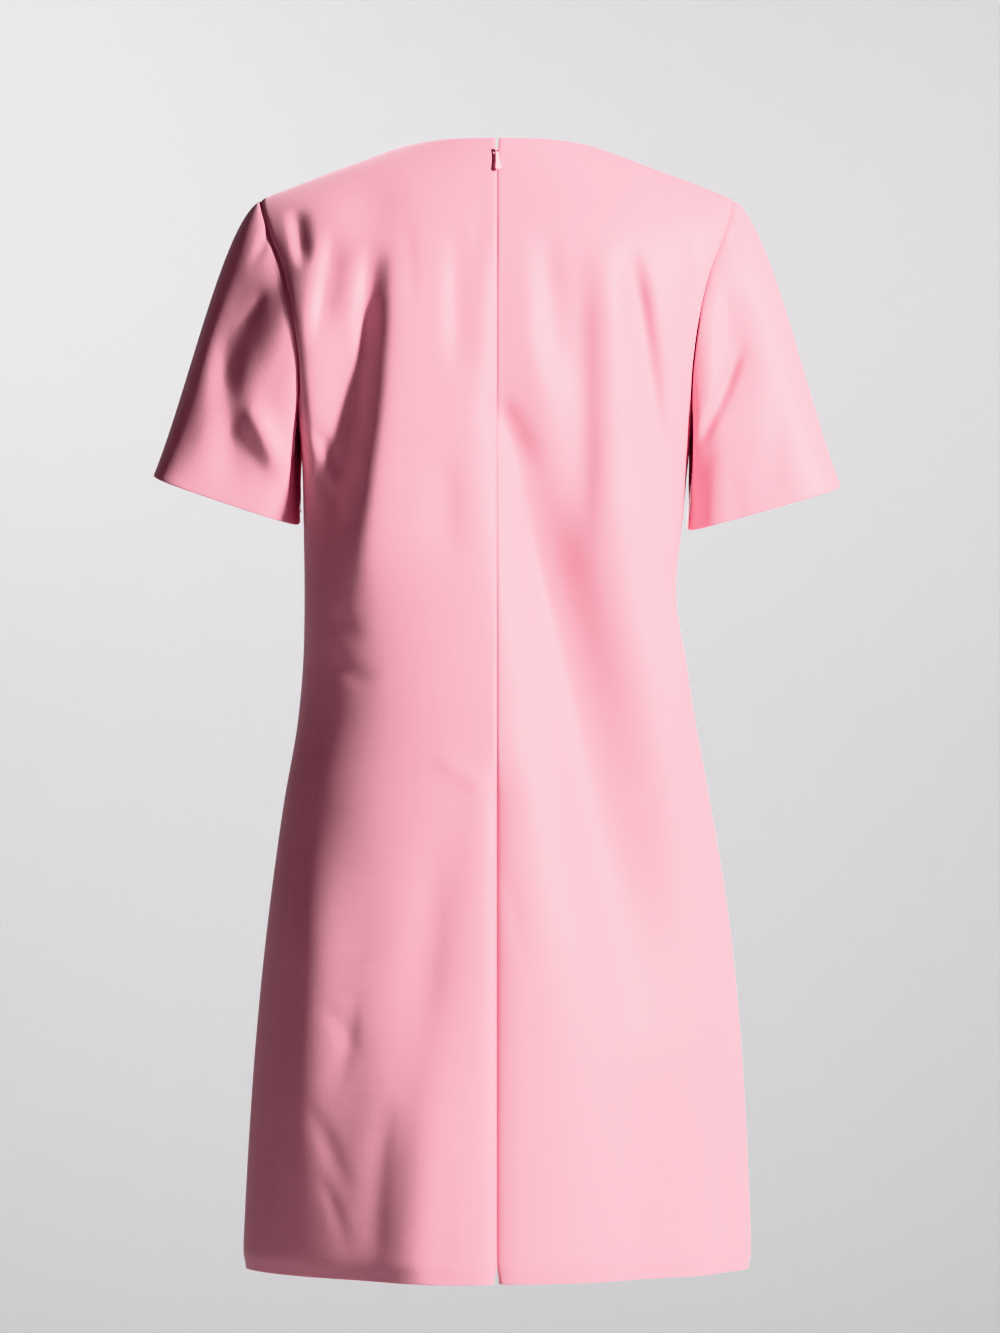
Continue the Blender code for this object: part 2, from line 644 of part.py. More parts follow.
# ---------------------------------------------------------------- zip slider and pull tab
SLIDER_WIDTH = 0.0062
SLIDER_LENGTH = 0.0085
SLIDER_THICKNESS = 0.0024
LOOP_RADIUS = 0.0015  # the slider's loop, outside
LOOP_HOLE = 0.00085
LOOP_WIDTH = 0.0014
LOOP_STAND = 0.0021  # the pivot's distance from the face of the cloth
LOOP_TURNS = 24
POST_LENGTH = 0.00255
POST_WIDTH_SHARE = 0.98  # of the loop's width
POST_SINK = 0.0004  # how far the post runs into the slider
POST_CLEAR = 0.0003  # from the top of the post to the loop's hole
SLIDER_CLEAR = 0.0006  # from the inner face of the cloth to the slider
SLIDER_EDGE = 0.0005
TAB_LENGTH = 0.0210
TAB_THICKNESS = 0.0008
TAB_BAR = 0.00045  # half height of the bar that turns in the slider's loop
TAB_SLOT_LENGTH = 0.0030
TAB_SLOT_HALF_WIDTH = 0.00110
TAB_TOP_HALF_WIDTH = 0.0018
TAB_END_RADIUS = 0.0027
TAB_CORNER = 0.0006  # cut off each top corner
TAB_END_POINTS = 8  # steps round a quarter of the end, and down each straight side


def zip_frame():
    """Where the pull tab turns: across is +X, along runs down the cloth, out leaves it."""
    x = np.array([NOTCH_AT_SLIDER])
    height = np.array([ZIP_HEIGHT])
    angle = angle_at(x, height, 1, "back")
    roll = roll_from_drop(ridge(x) - height)
    surface = body(angle, roll, 1, "back")[0]
    out = body_normals(angle, roll, 1, "back")[0]
    out[0] = 0.0
    out = out / np.linalg.norm(out)
    across = np.array([1.0, 0.0, 0.0])
    along = np.cross(across, out)
    pivot = np.array([0.0, surface[1], surface[2]]) + out * LOOP_STAND
    frame = Matrix(np.column_stack([across, along, out]).tolist()).to_4x4()
    frame.translation = pivot.tolist()
    return frame


def box_object(name, size, centre, frame, finish, bevel=0.0):
    """A box in the zip's own frame, with its edges rounded by bevel."""
    mesh = bpy.data.meshes.new(name)
    shape = bmesh.new()
    bmesh.ops.create_cube(shape, size=1.0)
    bmesh.ops.scale(shape, vec=size, verts=shape.verts)
    if bevel:
        bmesh.ops.bevel(
            shape, geom=shape.edges[:], offset=bevel, segments=2, profile=0.5, affect="EDGES"
        )
    bmesh.ops.translate(shape, vec=centre, verts=shape.verts)
    bmesh.ops.transform(shape, matrix=frame, verts=shape.verts)
    shape.to_mesh(mesh)
    shape.free()
    mesh.materials.append(finish)
    made = bpy.data.objects.new(name, mesh)
    bpy.context.collection.objects.link(made)
    return made


def ring_points(radius, x, turns):
    """A circle about the pull tab's axis."""
    flat = np.full_like(turns, x)
    return np.stack([flat, radius * np.cos(turns), radius * np.sin(turns)], axis=-1)


def make_slider(frame, finish):
    """The slider behind the seam, with the post and loop that carry the pull tab."""
    turns = np.linspace(0.0, 2 * math.pi, LOOP_TURNS, endpoint=False)
    half = LOOP_WIDTH / 2
    profile = ((LOOP_RADIUS, -half), (LOOP_RADIUS, half), (LOOP_HOLE, half), (LOOP_HOLE, -half))
    rings = np.stack([ring_points(radius, x, turns) for radius, x in profile], axis=1)
    number = np.arange(rings.shape[0] * 4).reshape(-1, 4)
    number = np.vstack([number, number[:1]])
    number = np.hstack([number, number[:, :1]])
    faces = np.vstack([quads(number[:, i], number[:, i + 1]) for i in range(4)])
    loop = add_object("zip_slider", rings.reshape(-1, 3), faces, finish)
    loop.data.transform(frame)
    back_face = -LOOP_STAND - WALL - SLIDER_CLEAR
    post_top = -LOOP_HOLE - POST_CLEAR
    post_foot = back_face - POST_SINK
    post = box_object(
        "slider_post",
        (LOOP_WIDTH * POST_WIDTH_SHARE, POST_LENGTH, post_top - post_foot),
        (0.0, 0.0, (post_top + post_foot) / 2),
        frame,
        finish,
    )
    block = box_object(
        "slider_block",
        (SLIDER_WIDTH, SLIDER_LENGTH, SLIDER_THICKNESS),
        (0.0, 0.0, back_face - SLIDER_THICKNESS / 2),
        frame,
        finish,
        bevel=SLIDER_EDGE,
    )
    for other in (post, block):
        other.hide_render = True
        other.display_type = "WIRE"
        union = loop.modifiers.new(other.name, "BOOLEAN")
        union.operation = "UNION"
        union.solver = "EXACT"
        union.object = other


def make_pull_tab(frame, finish):
    """A drop-shaped tab with a slot, whose top bar turns in the slider's loop.

    The outline and the slot are matching rings of points about the slot's centre, the
    outline widening in straight sides to a round end.
    """
    end_centre = TAB_LENGTH - TAB_END_RADIUS
    sweep = np.linspace(0.0, math.pi / 2, TAB_END_POINTS + 1)
    round_end = np.stack([np.sin(sweep), np.cos(sweep)], axis=-1) * TAB_END_RADIUS
    round_end = round_end + [0.0, end_centre]
    side_share = np.linspace(0.0, 1.0, TAB_END_POINTS)[1:, None]
    side_end = np.array([TAB_TOP_HALF_WIDTH, TAB_CORNER - TAB_BAR])
    side_line = round_end[-1] + (side_end - round_end[-1]) * side_share
    top = np.array([[TAB_TOP_HALF_WIDTH - TAB_CORNER, -TAB_BAR], [0.0, -TAB_BAR]])
    half_outline = np.vstack([round_end, side_line, top])
    other_half = half_outline[-2:0:-1] * [-1.0, 1.0]
    outline = np.vstack([half_outline, other_half])
    turns = np.linspace(0.0, 2 * math.pi, len(outline), endpoint=False)
    slot = np.stack([np.sin(turns), np.cos(turns)], axis=-1)
    slot = slot / np.max(np.abs(slot), axis=-1, keepdims=True)
    slot = slot * [TAB_SLOT_HALF_WIDTH, TAB_SLOT_LENGTH / 2]
    slot = slot + [0.0, TAB_BAR + TAB_SLOT_LENGTH / 2]
    half = TAB_THICKNESS / 2
    layers = [(outline, half), (slot, half), (slot, -half), (outline, -half)]
    rings = np.stack(
        [np.column_stack([flat, np.full(len(flat), level)]) for flat, level in layers], axis=1
    )
    number = np.arange(rings.shape[0] * 4).reshape(-1, 4)
    number = np.vstack([number, number[:1]])
    number = np.hstack([number, number[:, :1]])
    faces = np.vstack([quads(number[:, i], number[:, i + 1]) for i in range(4)])
    tab = add_object("zip_pull_tab", rings.reshape(-1, 3), faces, finish)
    tab.matrix_world = frame


# ---------------------------------------------------------------- the dress
def main():
    for old in list(bpy.data.objects):
        bpy.data.objects.remove(old)
    cloth = material("rose cloth", CLOTH_COLOUR, 0.5)
    tape = material("zip tape", TAPE_COLOUR, 0.8)
    pull = material("painted zip pull", PULL_COLOUR, 0.35)
    make_front(cloth)
    make_back("back_left", -1, cloth)
    make_back("back_right", 1, cloth)
    make_sleeve("left", cloth)
    make_sleeve("right", cloth)
    make_zip_tape("zip_tape_left", -1, tape)
    make_zip_tape("zip_tape_right", 1, tape)
    frame = zip_frame()
    make_slider(frame, pull)
    make_pull_tab(frame, pull)


main()
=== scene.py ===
"""A short-sleeved shift dress in rose satin, dressed over its solids as it hangs when worn.

Metres, +Z up. The back with the zip faces -Y, the wearer's right is +X, and the origin lies
midway between the two high shoulder points. Each piece of cloth is a grid of two parameters,
worked out as whole arrays: the smooth body, then its folds and creases pressed in straight
from behind or from in front, then the dips at its seams, then a thin wall with its turnings.
"""

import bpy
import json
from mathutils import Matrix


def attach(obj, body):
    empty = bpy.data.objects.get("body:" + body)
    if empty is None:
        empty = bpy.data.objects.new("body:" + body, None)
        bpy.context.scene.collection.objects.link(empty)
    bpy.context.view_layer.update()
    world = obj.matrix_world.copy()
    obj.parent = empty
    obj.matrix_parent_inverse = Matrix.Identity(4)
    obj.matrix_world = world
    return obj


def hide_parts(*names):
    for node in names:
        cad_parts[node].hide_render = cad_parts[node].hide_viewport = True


bl_info = {
    "name": "Shift dress",
    "version": (1, 0, 0),
    "blender": (4, 5, 0),
    "location": "3D View > Sidebar > Dress",
    "description": "A worn shift dress with a concealed zip, built piece by piece",
    "category": "Object",
}

import functools
import json
import math

import bpy
import numpy as np
from bpy.props import FloatProperty, FloatVectorProperty, IntProperty, PointerProperty
from mathutils import Matrix, Vector

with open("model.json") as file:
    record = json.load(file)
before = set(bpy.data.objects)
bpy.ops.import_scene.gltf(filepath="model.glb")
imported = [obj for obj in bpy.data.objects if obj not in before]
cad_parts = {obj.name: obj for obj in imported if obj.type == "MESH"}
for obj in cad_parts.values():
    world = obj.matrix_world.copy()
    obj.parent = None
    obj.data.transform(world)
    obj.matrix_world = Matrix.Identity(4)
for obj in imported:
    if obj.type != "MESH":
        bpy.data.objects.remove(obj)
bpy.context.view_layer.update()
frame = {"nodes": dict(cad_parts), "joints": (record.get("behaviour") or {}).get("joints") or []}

# ---------------------------------------------------------------- the cut of the solids, sewn closer
SEAM_GAP = 0.00014  # room left between two sewn pieces
DRESS_LENGTH = 0.945  # high shoulder point to hem, at the side
HEM_RISE = 0.003  # how much the hem lifts at the centre back and centre front
UNDERARM = -0.2325  # height of the underarm point
NECK_LIFT = 0.0022  # rise of the back neckline from the centre to the shoulder seam
NECK_LIFT_REACH = 0.6  # share of the neck's half width over which it rises
FRONT_NECK_DROP = 0.078  # depth of the round front neck at the centre
FRONT_NECK_POWER = 1.15  # above 1 draws the front neck in towards a V
NECK_HALF_WIDTH = 0.0895
# the line along the top of the shoulders
RIDGE_PEAK = 0.0368
RIDGE_ROUND = 0.010
SHOULDER_SLOPE = 0.37
# how the body rolls over that line, from back to front
ROLL_AT_CENTRE = 0.027
ROLL_GROWTH = 0.42
ROLL_FULLNESS = 2.4
ROLL_UNIT = 0.060  # drop from the ridge over which the roll parameter turns even

# A section's half widths to the left and right, its depths behind and in front, and the
# powers of the superellipse that joins them: 2 is round, and more is squarer.
SECTION_COLUMNS = (
    "height", "left", "right", "back", "front",
    "front_power", "left_back_power", "right_back_power",
)
SECTIONS = (
    (0.050, 0.2340, 0.2340, 0.048, 0.042, 2.4, 2.4, 2.4),
    (0.000, 0.2320, 0.2320, 0.069, 0.058, 2.4, 2.4, 2.4),
    (-0.040, 0.2275, 0.2275, 0.084, 0.070, 2.4, 2.4, 2.4),
    (-0.075, 0.2130, 0.2130, 0.097, 0.083, 2.4, 2.5, 2.4),
    (-0.110, 0.1965, 0.1965, 0.105, 0.098, 2.4, 3.0, 2.4),
    (-0.150, 0.1840, 0.1835, 0.110, 0.114, 2.4, 4.5, 2.4),
    (-0.190, 0.1745, 0.1740, 0.111, 0.126, 2.4, 5.0, 2.4),
    (-0.225, 0.1685, 0.1675, 0.111, 0.132, 2.4, 5.2, 2.4),
    (-0.260, 0.1645, 0.1625, 0.110, 0.134, 2.4, 5.0, 2.4),
    (-0.310, 0.1636, 0.1573, 0.109, 0.132, 2.4, 4.0, 2.6),
    (-0.380, 0.1632, 0.1515, 0.108, 0.129, 2.4, 2.5, 2.8),
    (-0.430, 0.1645, 0.1595, 0.108, 0.129, 2.5, 2.1, 2.8),
    (-0.480, 0.1690, 0.1675, 0.110, 0.131, 2.6, 1.9, 2.6),
    (-0.550, 0.1810, 0.1805, 0.114, 0.135, 2.7, 1.8, 2.3),
    (-0.640, 0.1935, 0.1955, 0.121, 0.140, 2.8, 1.7, 2.0),
    (-0.750, 0.2050, 0.2070, 0.129, 0.145, 2.8, 1.6, 1.75),
    (-0.850, 0.2120, 0.2130, 0.136, 0.149, 2.8, 1.55, 1.65),
    (-0.950, 0.2170, 0.2170, 0.142, 0.151, 2.8, 1.5, 1.6),
)
# The armhole seam, as shares of the section's half width at each height.
ARMHOLE_COLUMNS = ("height", "back_share", "front_share")
ARMHOLE = (
    (-0.038, 0.876, 0.876),
    (-0.056, 0.886, 0.890),
    (-0.080, 0.898, 0.904),
    (-0.110, 0.906, 0.914),
    (-0.140, 0.916, 0.924),
    (-0.170, 0.930, 0.937),
    (-0.195, 0.946, 0.952),
    (-0.215, 0.967, 0.971),
    (-0.228, 0.990, 0.991),
    (UNDERARM, 1.0, 1.0),
)
# The two ends of each cuff, away from the body and next to it, as x and z.
SLEEVES = {
    "left": {"side": -1, "outer": (-0.2907, -0.2712), "inner": (-0.1675, -0.3125)},
    "right": {"side": 1, "outer": (0.2907, -0.2797), "inner": (0.1615, -0.3165)},
}
CUFF_HALF_DEPTH = 0.047
CUFF_TILT = 0.008  # how much lower the back of the cuff is than its middle
CUFF_POWER = 0.64  # below 1 makes the cuff's oval squarer
CAP_LIFT = 0.78  # how far the cap carries on along the shoulder before it turns down
CAP_SPREAD = 0.16  # how far the cap swells behind and in front
SLEEVE_GAP = 0.0003  # the unit of the sleeve's distance from the armhole
STAND_OFF = 1.2  # sleeve gaps between armhole and sleeve at the shoulder
STAND_OFF_GROWTH = 0.6  # half of the gaps that are added on the way to the underarm

# ---------------------------------------------------------------- the zip and its pull tab
ZIP_END = -0.530  # height of the zip's lower end
NOTCH_TOP = 0.0015  # half width of the opening above the slider, at the neckline
NOTCH_AT_SLIDER = 0.0009  # the same at the slider
NOTCH_START = -0.0185  # the seam is closed below this height
NOTCH_SLIDER = -0.0140  # height of the slider in the opening
TAPE_WIDTH = 0.0115
TAPE_THICKNESS = 0.0005
TAPE_DEPTH = 0.0026  # from the face of the cloth to the tape
TAPE_CLEAR = 0.001  # the tape stops this far below the notch
TAPE_COLUMNS = 8
COIL_PITCH = 0.00135
COIL_RADIUS = 0.0011
COIL_WIRE = 0.00030
COIL_STEPS = 9  # points of a turn
COIL_SIDES = 4
TAB_LENGTH = 0.0210  # from the pivot to the round end
TAB_THICKNESS = 0.0009
TAB_BAR = 0.00045  # half height of the bar that turns in the slider's loop
TAB_SLOT_LENGTH = 0.0030
TAB_SLOT_HALF_WIDTH = 0.0010
TAB_SLOT_POWER = 0.6  # below 1 makes the slot squarer than an oval
TAB_TOP_HALF_WIDTH = 0.0016
TAB_END_RADIUS = 0.0026
TAB_EDGE = 0.00028  # radius of the rounded edges
TAB_WAIST = 0.0003  # how far the tab's sides are drawn in
TAB_LEAN = math.radians(25.93)  # the cloth's slope under the tab
TAB_SWING = math.radians(-4.0)  # the tab hangs a little askew in its loop

# ---------------------------------------------------------------- folds and creases
# Each row is one trough, or a ridge where its depth is negative, from a start to an end as
# seen from behind (or from in front for the front). Bow moves its middle sideways, width and
# end_width are half widths, lean above 0 makes the +X flank steeper, and fade_in and fade_out
# are the shares of its length over which it comes and goes.
FOLD_COLUMNS = (
    "start_x", "start_z", "end_x", "end_z", "bow",
    "width", "end_width", "depth", "lean", "fade_in", "fade_out",
)
BACK_FOLDS = (
    # down the left back, from the shoulder and the armhole to the waist
    (-0.1020, -0.020, -0.1080, -0.140, 0.000, 0.028, 0.026, 0.0055, 0.00, 0.35, 0.40),
    (-0.0980, -0.075, -0.1600, -0.410, 0.004, 0.024, 0.034, 0.0290, 0.30, 0.50, 0.36),
    (-0.1030, -0.085, -0.1140, -0.200, 0.000, 0.011, 0.010, 0.0070, -0.35, 0.40, 0.45),
    (-0.1330, -0.070, -0.1490, -0.185, 0.000, 0.012, 0.011, 0.0075, -0.35, 0.35, 0.40),
    (-0.1700, -0.050, -0.1590, -0.115, 0.000, 0.008, 0.007, 0.0040, -0.20, 0.35, 0.40),
    # either side of the top of the zip
    (-0.0330, -0.070, -0.0310, -0.215, 0.000, 0.013, 0.014, 0.0046, -0.25, 0.40, 0.40),
    (0.0390, -0.070, 0.0480, -0.225, 0.000, 0.014, 0.014, 0.0070, 0.00, 0.40, 0.40),
    # the right shoulder blade and armhole
    (0.0650, -0.070, 0.0720, -0.360, 0.000, 0.020, 0.018, 0.0120, 0.15, 0.35, 0.35),
    (0.1080, -0.085, 0.1440, -0.370, 0.004, 0.010, 0.018, 0.0110, 0.20, 0.20, 0.65),
    (0.1620, -0.070, 0.1640, -0.150, 0.002, 0.009, 0.009, 0.0035, 0.00, 0.35, 0.50),
    # the long drag line from the zip to the right hip, and the calm place below it
    (-0.0040, -0.172, 0.1320, -0.780, 0.003, 0.023, 0.058, 0.0340, -0.20, 0.32, 0.34),
    (0.0950, -0.560, 0.1250, -0.960, 0.004, 0.042, 0.046, 0.0100, -0.30, 0.45, 0.02),
    # the left of the skirt
    (-0.0200, -0.480, -0.1100, -0.960, 0.004, 0.020, 0.026, 0.0030, 0.10, 0.30, 0.02),
    (-0.1500, -0.560, -0.1720, -0.960, 0.000, 0.030, 0.032, -0.0070, 0.00, 0.30, 0.45),
    (-0.0600, -0.680, -0.0660, -0.960, 0.000, 0.046, 0.050, -0.0110, 0.10, 0.60, 0.02),
)
FRONT_FOLDS = (
    (-0.120, -0.110, -0.146, -0.235, 0.004, 0.010, 0.012, 0.0050, 0.20, 0.30, 0.50),
    (0.118, -0.105, 0.145, -0.225, -0.004, 0.010, 0.012, 0.0050, -0.20, 0.30, 0.50),
    (-0.088, -0.300, -0.118, -0.960, -0.004, 0.022, 0.040, 0.0070, 0.10, 0.50, 0.02),
    (0.094, -0.330, 0.124, -0.960, 0.004, 0.022, 0.038, 0.0062, -0.10, 0.50, 0.02),
    (-0.012, -0.520, -0.022, -0.960, 0.000, 0.026, 0.042, 0.0045, 0.00, 0.60, 0.02),
)
CALM_BY_SEAM = 0.45  # cosine of the section angle below which folds fade to the side seam
CALM_BY_SHOULDER = 0.7  # roll below which folds fade to the shoulder seam
SLEEVE_FOLDS = {
    "left": {
        "back": (
            (-0.2120, -0.070, -0.2140, -0.260, 0.000, 0.026, 0.028, 0.0055, -0.10, 0.40, 0.50),
            (-0.2280, -0.130, -0.2220, -0.300, 0.000, 0.012, 0.015, 0.0045, 0.00, 0.45, 0.25),
            (-0.2090, -0.215, -0.1720, -0.290, 0.000, 0.011, 0.012, -0.0070, 0.00, 0.35, 0.40),
        ),
        "front": (
            (0.1820, -0.090, 0.1680, -0.330, -0.002, 0.012, 0.010, 0.0080, 0.20, 0.30, 0.15),
            (0.2200, -0.120, 0.2080, -0.300, 0.004, 0.014, 0.014, 0.0050, 0.00, 0.40, 0.20),
        ),
    },
    "right": {
        "back": (
            (0.1760, -0.235, 0.1640, -0.330, 0.000, 0.010, 0.010, 0.0050, 0.00, 0.40, 0.10),
            (0.2080, -0.160, 0.1640, -0.262, 0.002, 0.006, 0.006, 0.0060, 0.00, 0.35, 0.30),
            (0.1960, -0.100, 0.1900, -0.250, 0.000, 0.018, 0.018, 0.0070, -0.45, 0.35, 0.45),
        ),
        "front": (
            (-0.1880, -0.090, -0.1720, -0.320, 0.002, 0.010, 0.010, 0.0060, -0.20, 0.30, 0.15),
            (-0.2150, -0.120, -0.2000, -0.300, -0.004, 0.014, 0.014, 0.0045, 0.00, 0.40, 0.20),
        ),
    },
}
SLEEVE_CALM = 0.06  # share of the sleeve's length over which folds fade to the armhole
SLEEVE_FACING = 0.35  # how far a sleeve's normal must turn to the back or front to be folded
# The small creases, with the main folds' columns.
BACK_CREASES = (
    # left: beside the seam, at the shoulder, under the arm and at the waist
    (-0.0420, -0.255, -0.0400, -0.370, 0.000, 0.014, 0.016, 0.0034, 0.20, 0.40, 0.50),
    (-0.0150, -0.045, -0.0170, -0.180, 0.000, 0.006, 0.007, 0.0007, 0.00, 0.40, 0.40),
    (-0.0760, -0.060, -0.0700, -0.160, 0.002, 0.008, 0.008, 0.0012, 0.20, 0.40, 0.40),
    (-0.1560, -0.235, -0.1180, -0.300, 0.002, 0.006, 0.007, 0.0022, 0.00, 0.30, 0.55),
    (-0.1540, -0.270, -0.1240, -0.330, 0.002, 0.005, 0.006, 0.0012, 0.00, 0.30, 0.50),
    (-0.1500, -0.385, -0.1080, -0.420, -0.002, 0.008, 0.010, 0.0014, 0.00, 0.35, 0.45),
    (-0.1460, -0.430, -0.0960, -0.455, -0.002, 0.007, 0.009, 0.0010, 0.00, 0.35, 0.45),
    # left of the skirt: short drags from the side seam and long soft runs to the hem
    (-0.1620, -0.790, -0.1180, -0.890, 0.004, 0.007, 0.011, 0.0010, 0.10, 0.45, 0.50),
    (-0.1500, -0.850, -0.1200, -0.930, 0.003, 0.005, 0.008, 0.0007, 0.10, 0.45, 0.50),
    (-0.1500, -0.712, -0.1060, -0.772, 0.003, 0.007, 0.010, 0.0007, 0.00, 0.45, 0.50),
    (-0.1160, -0.700, -0.1340, -0.800, 0.003, 0.008, 0.010, 0.0009, 0.20, 0.40, 0.50),
    (-0.0860, -0.780, -0.1000, -0.940, -0.003, 0.010, 0.012, 0.0012, 0.20, 0.40, 0.30),
    (-0.0420, -0.820, -0.0480, -0.955, 0.002, 0.008, 0.010, 0.0008, 0.00, 0.40, 0.20),
    (-0.0520, -0.560, -0.0660, -0.760, 0.003, 0.014, 0.018, 0.0018, 0.15, 0.40, 0.40),
    (0.0060, -0.600, 0.0220, -0.690, 0.001, 0.006, 0.007, 0.0010, 0.00, 0.35, 0.45),
    # right: the shoulder blade, the armhole's small marks and the pocket under the arm
    (0.1640, -0.078, 0.1560, -0.104, 0.000, 0.005, 0.005, 0.0012, 0.10, 0.35, 0.45),
    (0.1640, -0.124, 0.1550, -0.146, 0.000, 0.004, 0.005, 0.0010, 0.10, 0.35, 0.45),
    (0.1560, -0.145, 0.1480, -0.168, 0.000, 0.004, 0.005, 0.0008, 0.10, 0.35, 0.45),
    (0.1720, -0.225, 0.1560, -0.300, 0.002, 0.007, 0.008, 0.0026, -0.10, 0.35, 0.45),
    (0.1500, -0.300, 0.1120, -0.345, 0.002, 0.008, 0.009, 0.0012, 0.00, 0.30, 0.50),
    (0.0200, -0.300, 0.0420, -0.420, 0.002, 0.008, 0.010, 0.0012, 0.10, 0.40, 0.40),
    (-0.0040, -0.215, 0.0300, -0.292, 0.000, 0.010, 0.015, 0.0060, -0.10, 0.30, 0.50),
    (0.0120, -0.080, 0.0180, -0.250, 0.000, 0.016, 0.018, 0.0045, 0.00, 0.35, 0.40),
    (-0.0560, -0.508, -0.0040, -0.545, 0.000, 0.008, 0.010, -0.0016, 0.00, 0.40, 0.25),
    # along the zip, where the seam is drawn in
    (0.0000, -0.070, 0.0010, -0.275, 0.000, 0.009, 0.011, 0.0034, 0.00, 0.40, 0.35),
    # right of the skirt, beside the seam and out to the hip
    (0.0180, -0.455, 0.0260, -0.545, 0.001, 0.005, 0.006, 0.0010, 0.00, 0.35, 0.45),
    (0.0300, -0.480, 0.0420, -0.570, 0.001, 0.006, 0.007, 0.0010, 0.00, 0.35, 0.45),
    (0.1500, -0.520, 0.1100, -0.565, 0.002, 0.009, 0.011, 0.0010, 0.00, 0.35, 0.50),
    (0.1860, -0.720, 0.1960, -0.960, 0.000, 0.013, 0.016, 0.0080, 0.00, 0.40, 0.02),
)
FRONT_CREASES = (
    (-0.0600, -0.085, -0.0760, -0.170, 0.002, 0.008, 0.009, 0.0012, 0.10, 0.35, 0.45),
    (0.0560, -0.090, 0.0740, -0.175, -0.002, 0.008, 0.009, 0.0010, -0.10, 0.35, 0.45),
    (-0.1540, -0.240, -0.1080, -0.290, 0.002, 0.007, 0.009, 0.0018, 0.00, 0.30, 0.55),
    (0.1500, -0.245, 0.1060, -0.285, 0.002, 0.007, 0.009, 0.0016, 0.00, 0.30, 0.55),
    (-0.0300, -0.340, -0.0420, -0.470, 0.002, 0.010, 0.012, 0.0012, 0.10, 0.40, 0.40),
    (0.0380, -0.360, 0.0460, -0.500, 0.002, 0.010, 0.012, 0.0010, 0.00, 0.40, 0.40),
    (-0.1480, -0.400, -0.0980, -0.440, 0.002, 0.008, 0.010, 0.0014, 0.00, 0.35, 0.45),
    (0.1460, -0.390, 0.1000, -0.436, 0.002, 0.008, 0.010, 0.0012, 0.00, 0.35, 0.45),
    (0.0480, -0.620, 0.0620, -0.960, 0.003, 0.018, 0.024, 0.0024, 0.10, 0.40, 0.02),
    (-0.0640, -0.660, -0.0700, -0.960, 0.002, 0.016, 0.022, 0.0020, 0.00, 0.40, 0.02),
)
SLEEVE_CREASES = {
    "left": {
        "back": (
            (-0.1880, -0.062, -0.2100, -0.110, 0.002, 0.004, 0.006, 0.0014, 0.00, 0.25, 0.55),
            (-0.1920, -0.120, -0.2240, -0.170, 0.002, 0.006, 0.008, 0.0012, 0.00, 0.30, 0.50),
            (-0.1740, -0.270, -0.1940, -0.330, 0.000, 0.005, 0.006, 0.0010, 0.00, 0.35, 0.30),
        ),
        "front": (
            (0.1880, -0.070, 0.2100, -0.130, 0.002, 0.005, 0.007, 0.0014, 0.00, 0.30, 0.50),
            (0.1760, -0.180, 0.2000, -0.250, 0.002, 0.006, 0.008, 0.0014, 0.00, 0.35, 0.45),
        ),
    },
    "right": {
        "back": (
            (0.1960, -0.064, 0.2120, -0.112, -0.002, 0.004, 0.006, 0.0010, 0.00, 0.25, 0.55),
            (0.2360, -0.190, 0.2300, -0.310, 0.000, 0.010, 0.012, 0.0012, 0.00, 0.40, 0.30),
            (0.1960, -0.270, 0.2040, -0.330, 0.000, 0.006, 0.007, 0.0010, 0.00, 0.35, 0.30),
        ),
        "front": (
            (-0.1900, -0.075, -0.2120, -0.135, 0.002, 0.005, 0.007, 0.0012, 0.00, 0.30, 0.50),
            (-0.1780, -0.190, -0.2060, -0.240, 0.002, 0.006, 0.008, 0.0014, 0.00, 0.35, 0.45),
        ),
    },
}
SEAM_DIP = 0.0009  # how deep the cloth dips at a side, shoulder or armhole seam
SEAM_ROLL = 0.0022  # how far from the seam it does
CENTRE_DIP = 0.0013  # the same at the centre-back seam
CENTRE_ROLL = 0.0011
HEM_CURL = 0.0028  # how far the hem turns in, over the height of HEM_CURL_REACH
HEM_CURL_REACH = 0.009
VALLEY_DEPTH = 0.0075  # depth of the V that the centre seam lies in below the zip
VALLEY_REACH = {-1: 0.0060, 1: 0.0120}  # how far it reaches to the left and right
VALLEY_FADE = 0.03  # the V comes over this height above and below the zip's end
VALLEY_EASES_DIP = 0.4  # share of the seam's own dip that goes where the V runs

# ---------------------------------------------------------------- the grids
ROW_MEETS = -0.215  # height at the centre line of the row that ends at the underarm
ARMHOLE_ARM = 0.11  # metres for each radian of section angle, to space points round an armhole
TOP_HOLDS = 4  # above 1 keeps the top edge's own spacing close to that edge
PLACE_ROUNDS = 8
ALMOST_SEAM = 0.999999  # the seam itself has no angle worked out from its x
NECK_SHARE = 0.5  # share of a panel's columns that end at the neckline
ARM_ROW = 21 / 32  # share of a panel's rows that start below the underarm
EDGE_STEPS = (0.0024, 0.006, 0.012, 0.022, 0.036)  # extra columns close to a seam
EDGE_CLEAR = 0.004  # least room between these and the even columns
SHOULDER_RAMP = 0.02  # share of the columns over which the shoulder seam's dip comes
SLEEVE_ROWS = 90
HEM_TURNING = 11  # rows of the grid that are turned up inside
NECK_TURNING = 4
CUFF_TURNING = 9
TURN_STEPS = 5  # points round the fold of a turned edge

# ---------------------------------------------------------------- the stage and the camera
FLOOR_REACH = 7.0  # to each side, and towards the camera
BACKDROP_AT = 5.2
BACKDROP_TOP = 5.0
BACKDROP_BEND = 1.6  # radius of the curve between the floor and the backdrop
BACKDROP_STEPS = 24
CAMERA_DISTANCE = 2.8
CAMERA_PLACE = (0.00255, -CAMERA_DISTANCE, -0.59925)
PHOTO_SIDE = 1333  # pixels of the photograph's long side
PHOTO_PIXEL = 0.00085  # metres for a pixel at the dress's middle plane
CAMERA_ROW = 860  # row of the photograph that lies at the camera's height
SENSOR_WIDTH = 36.0


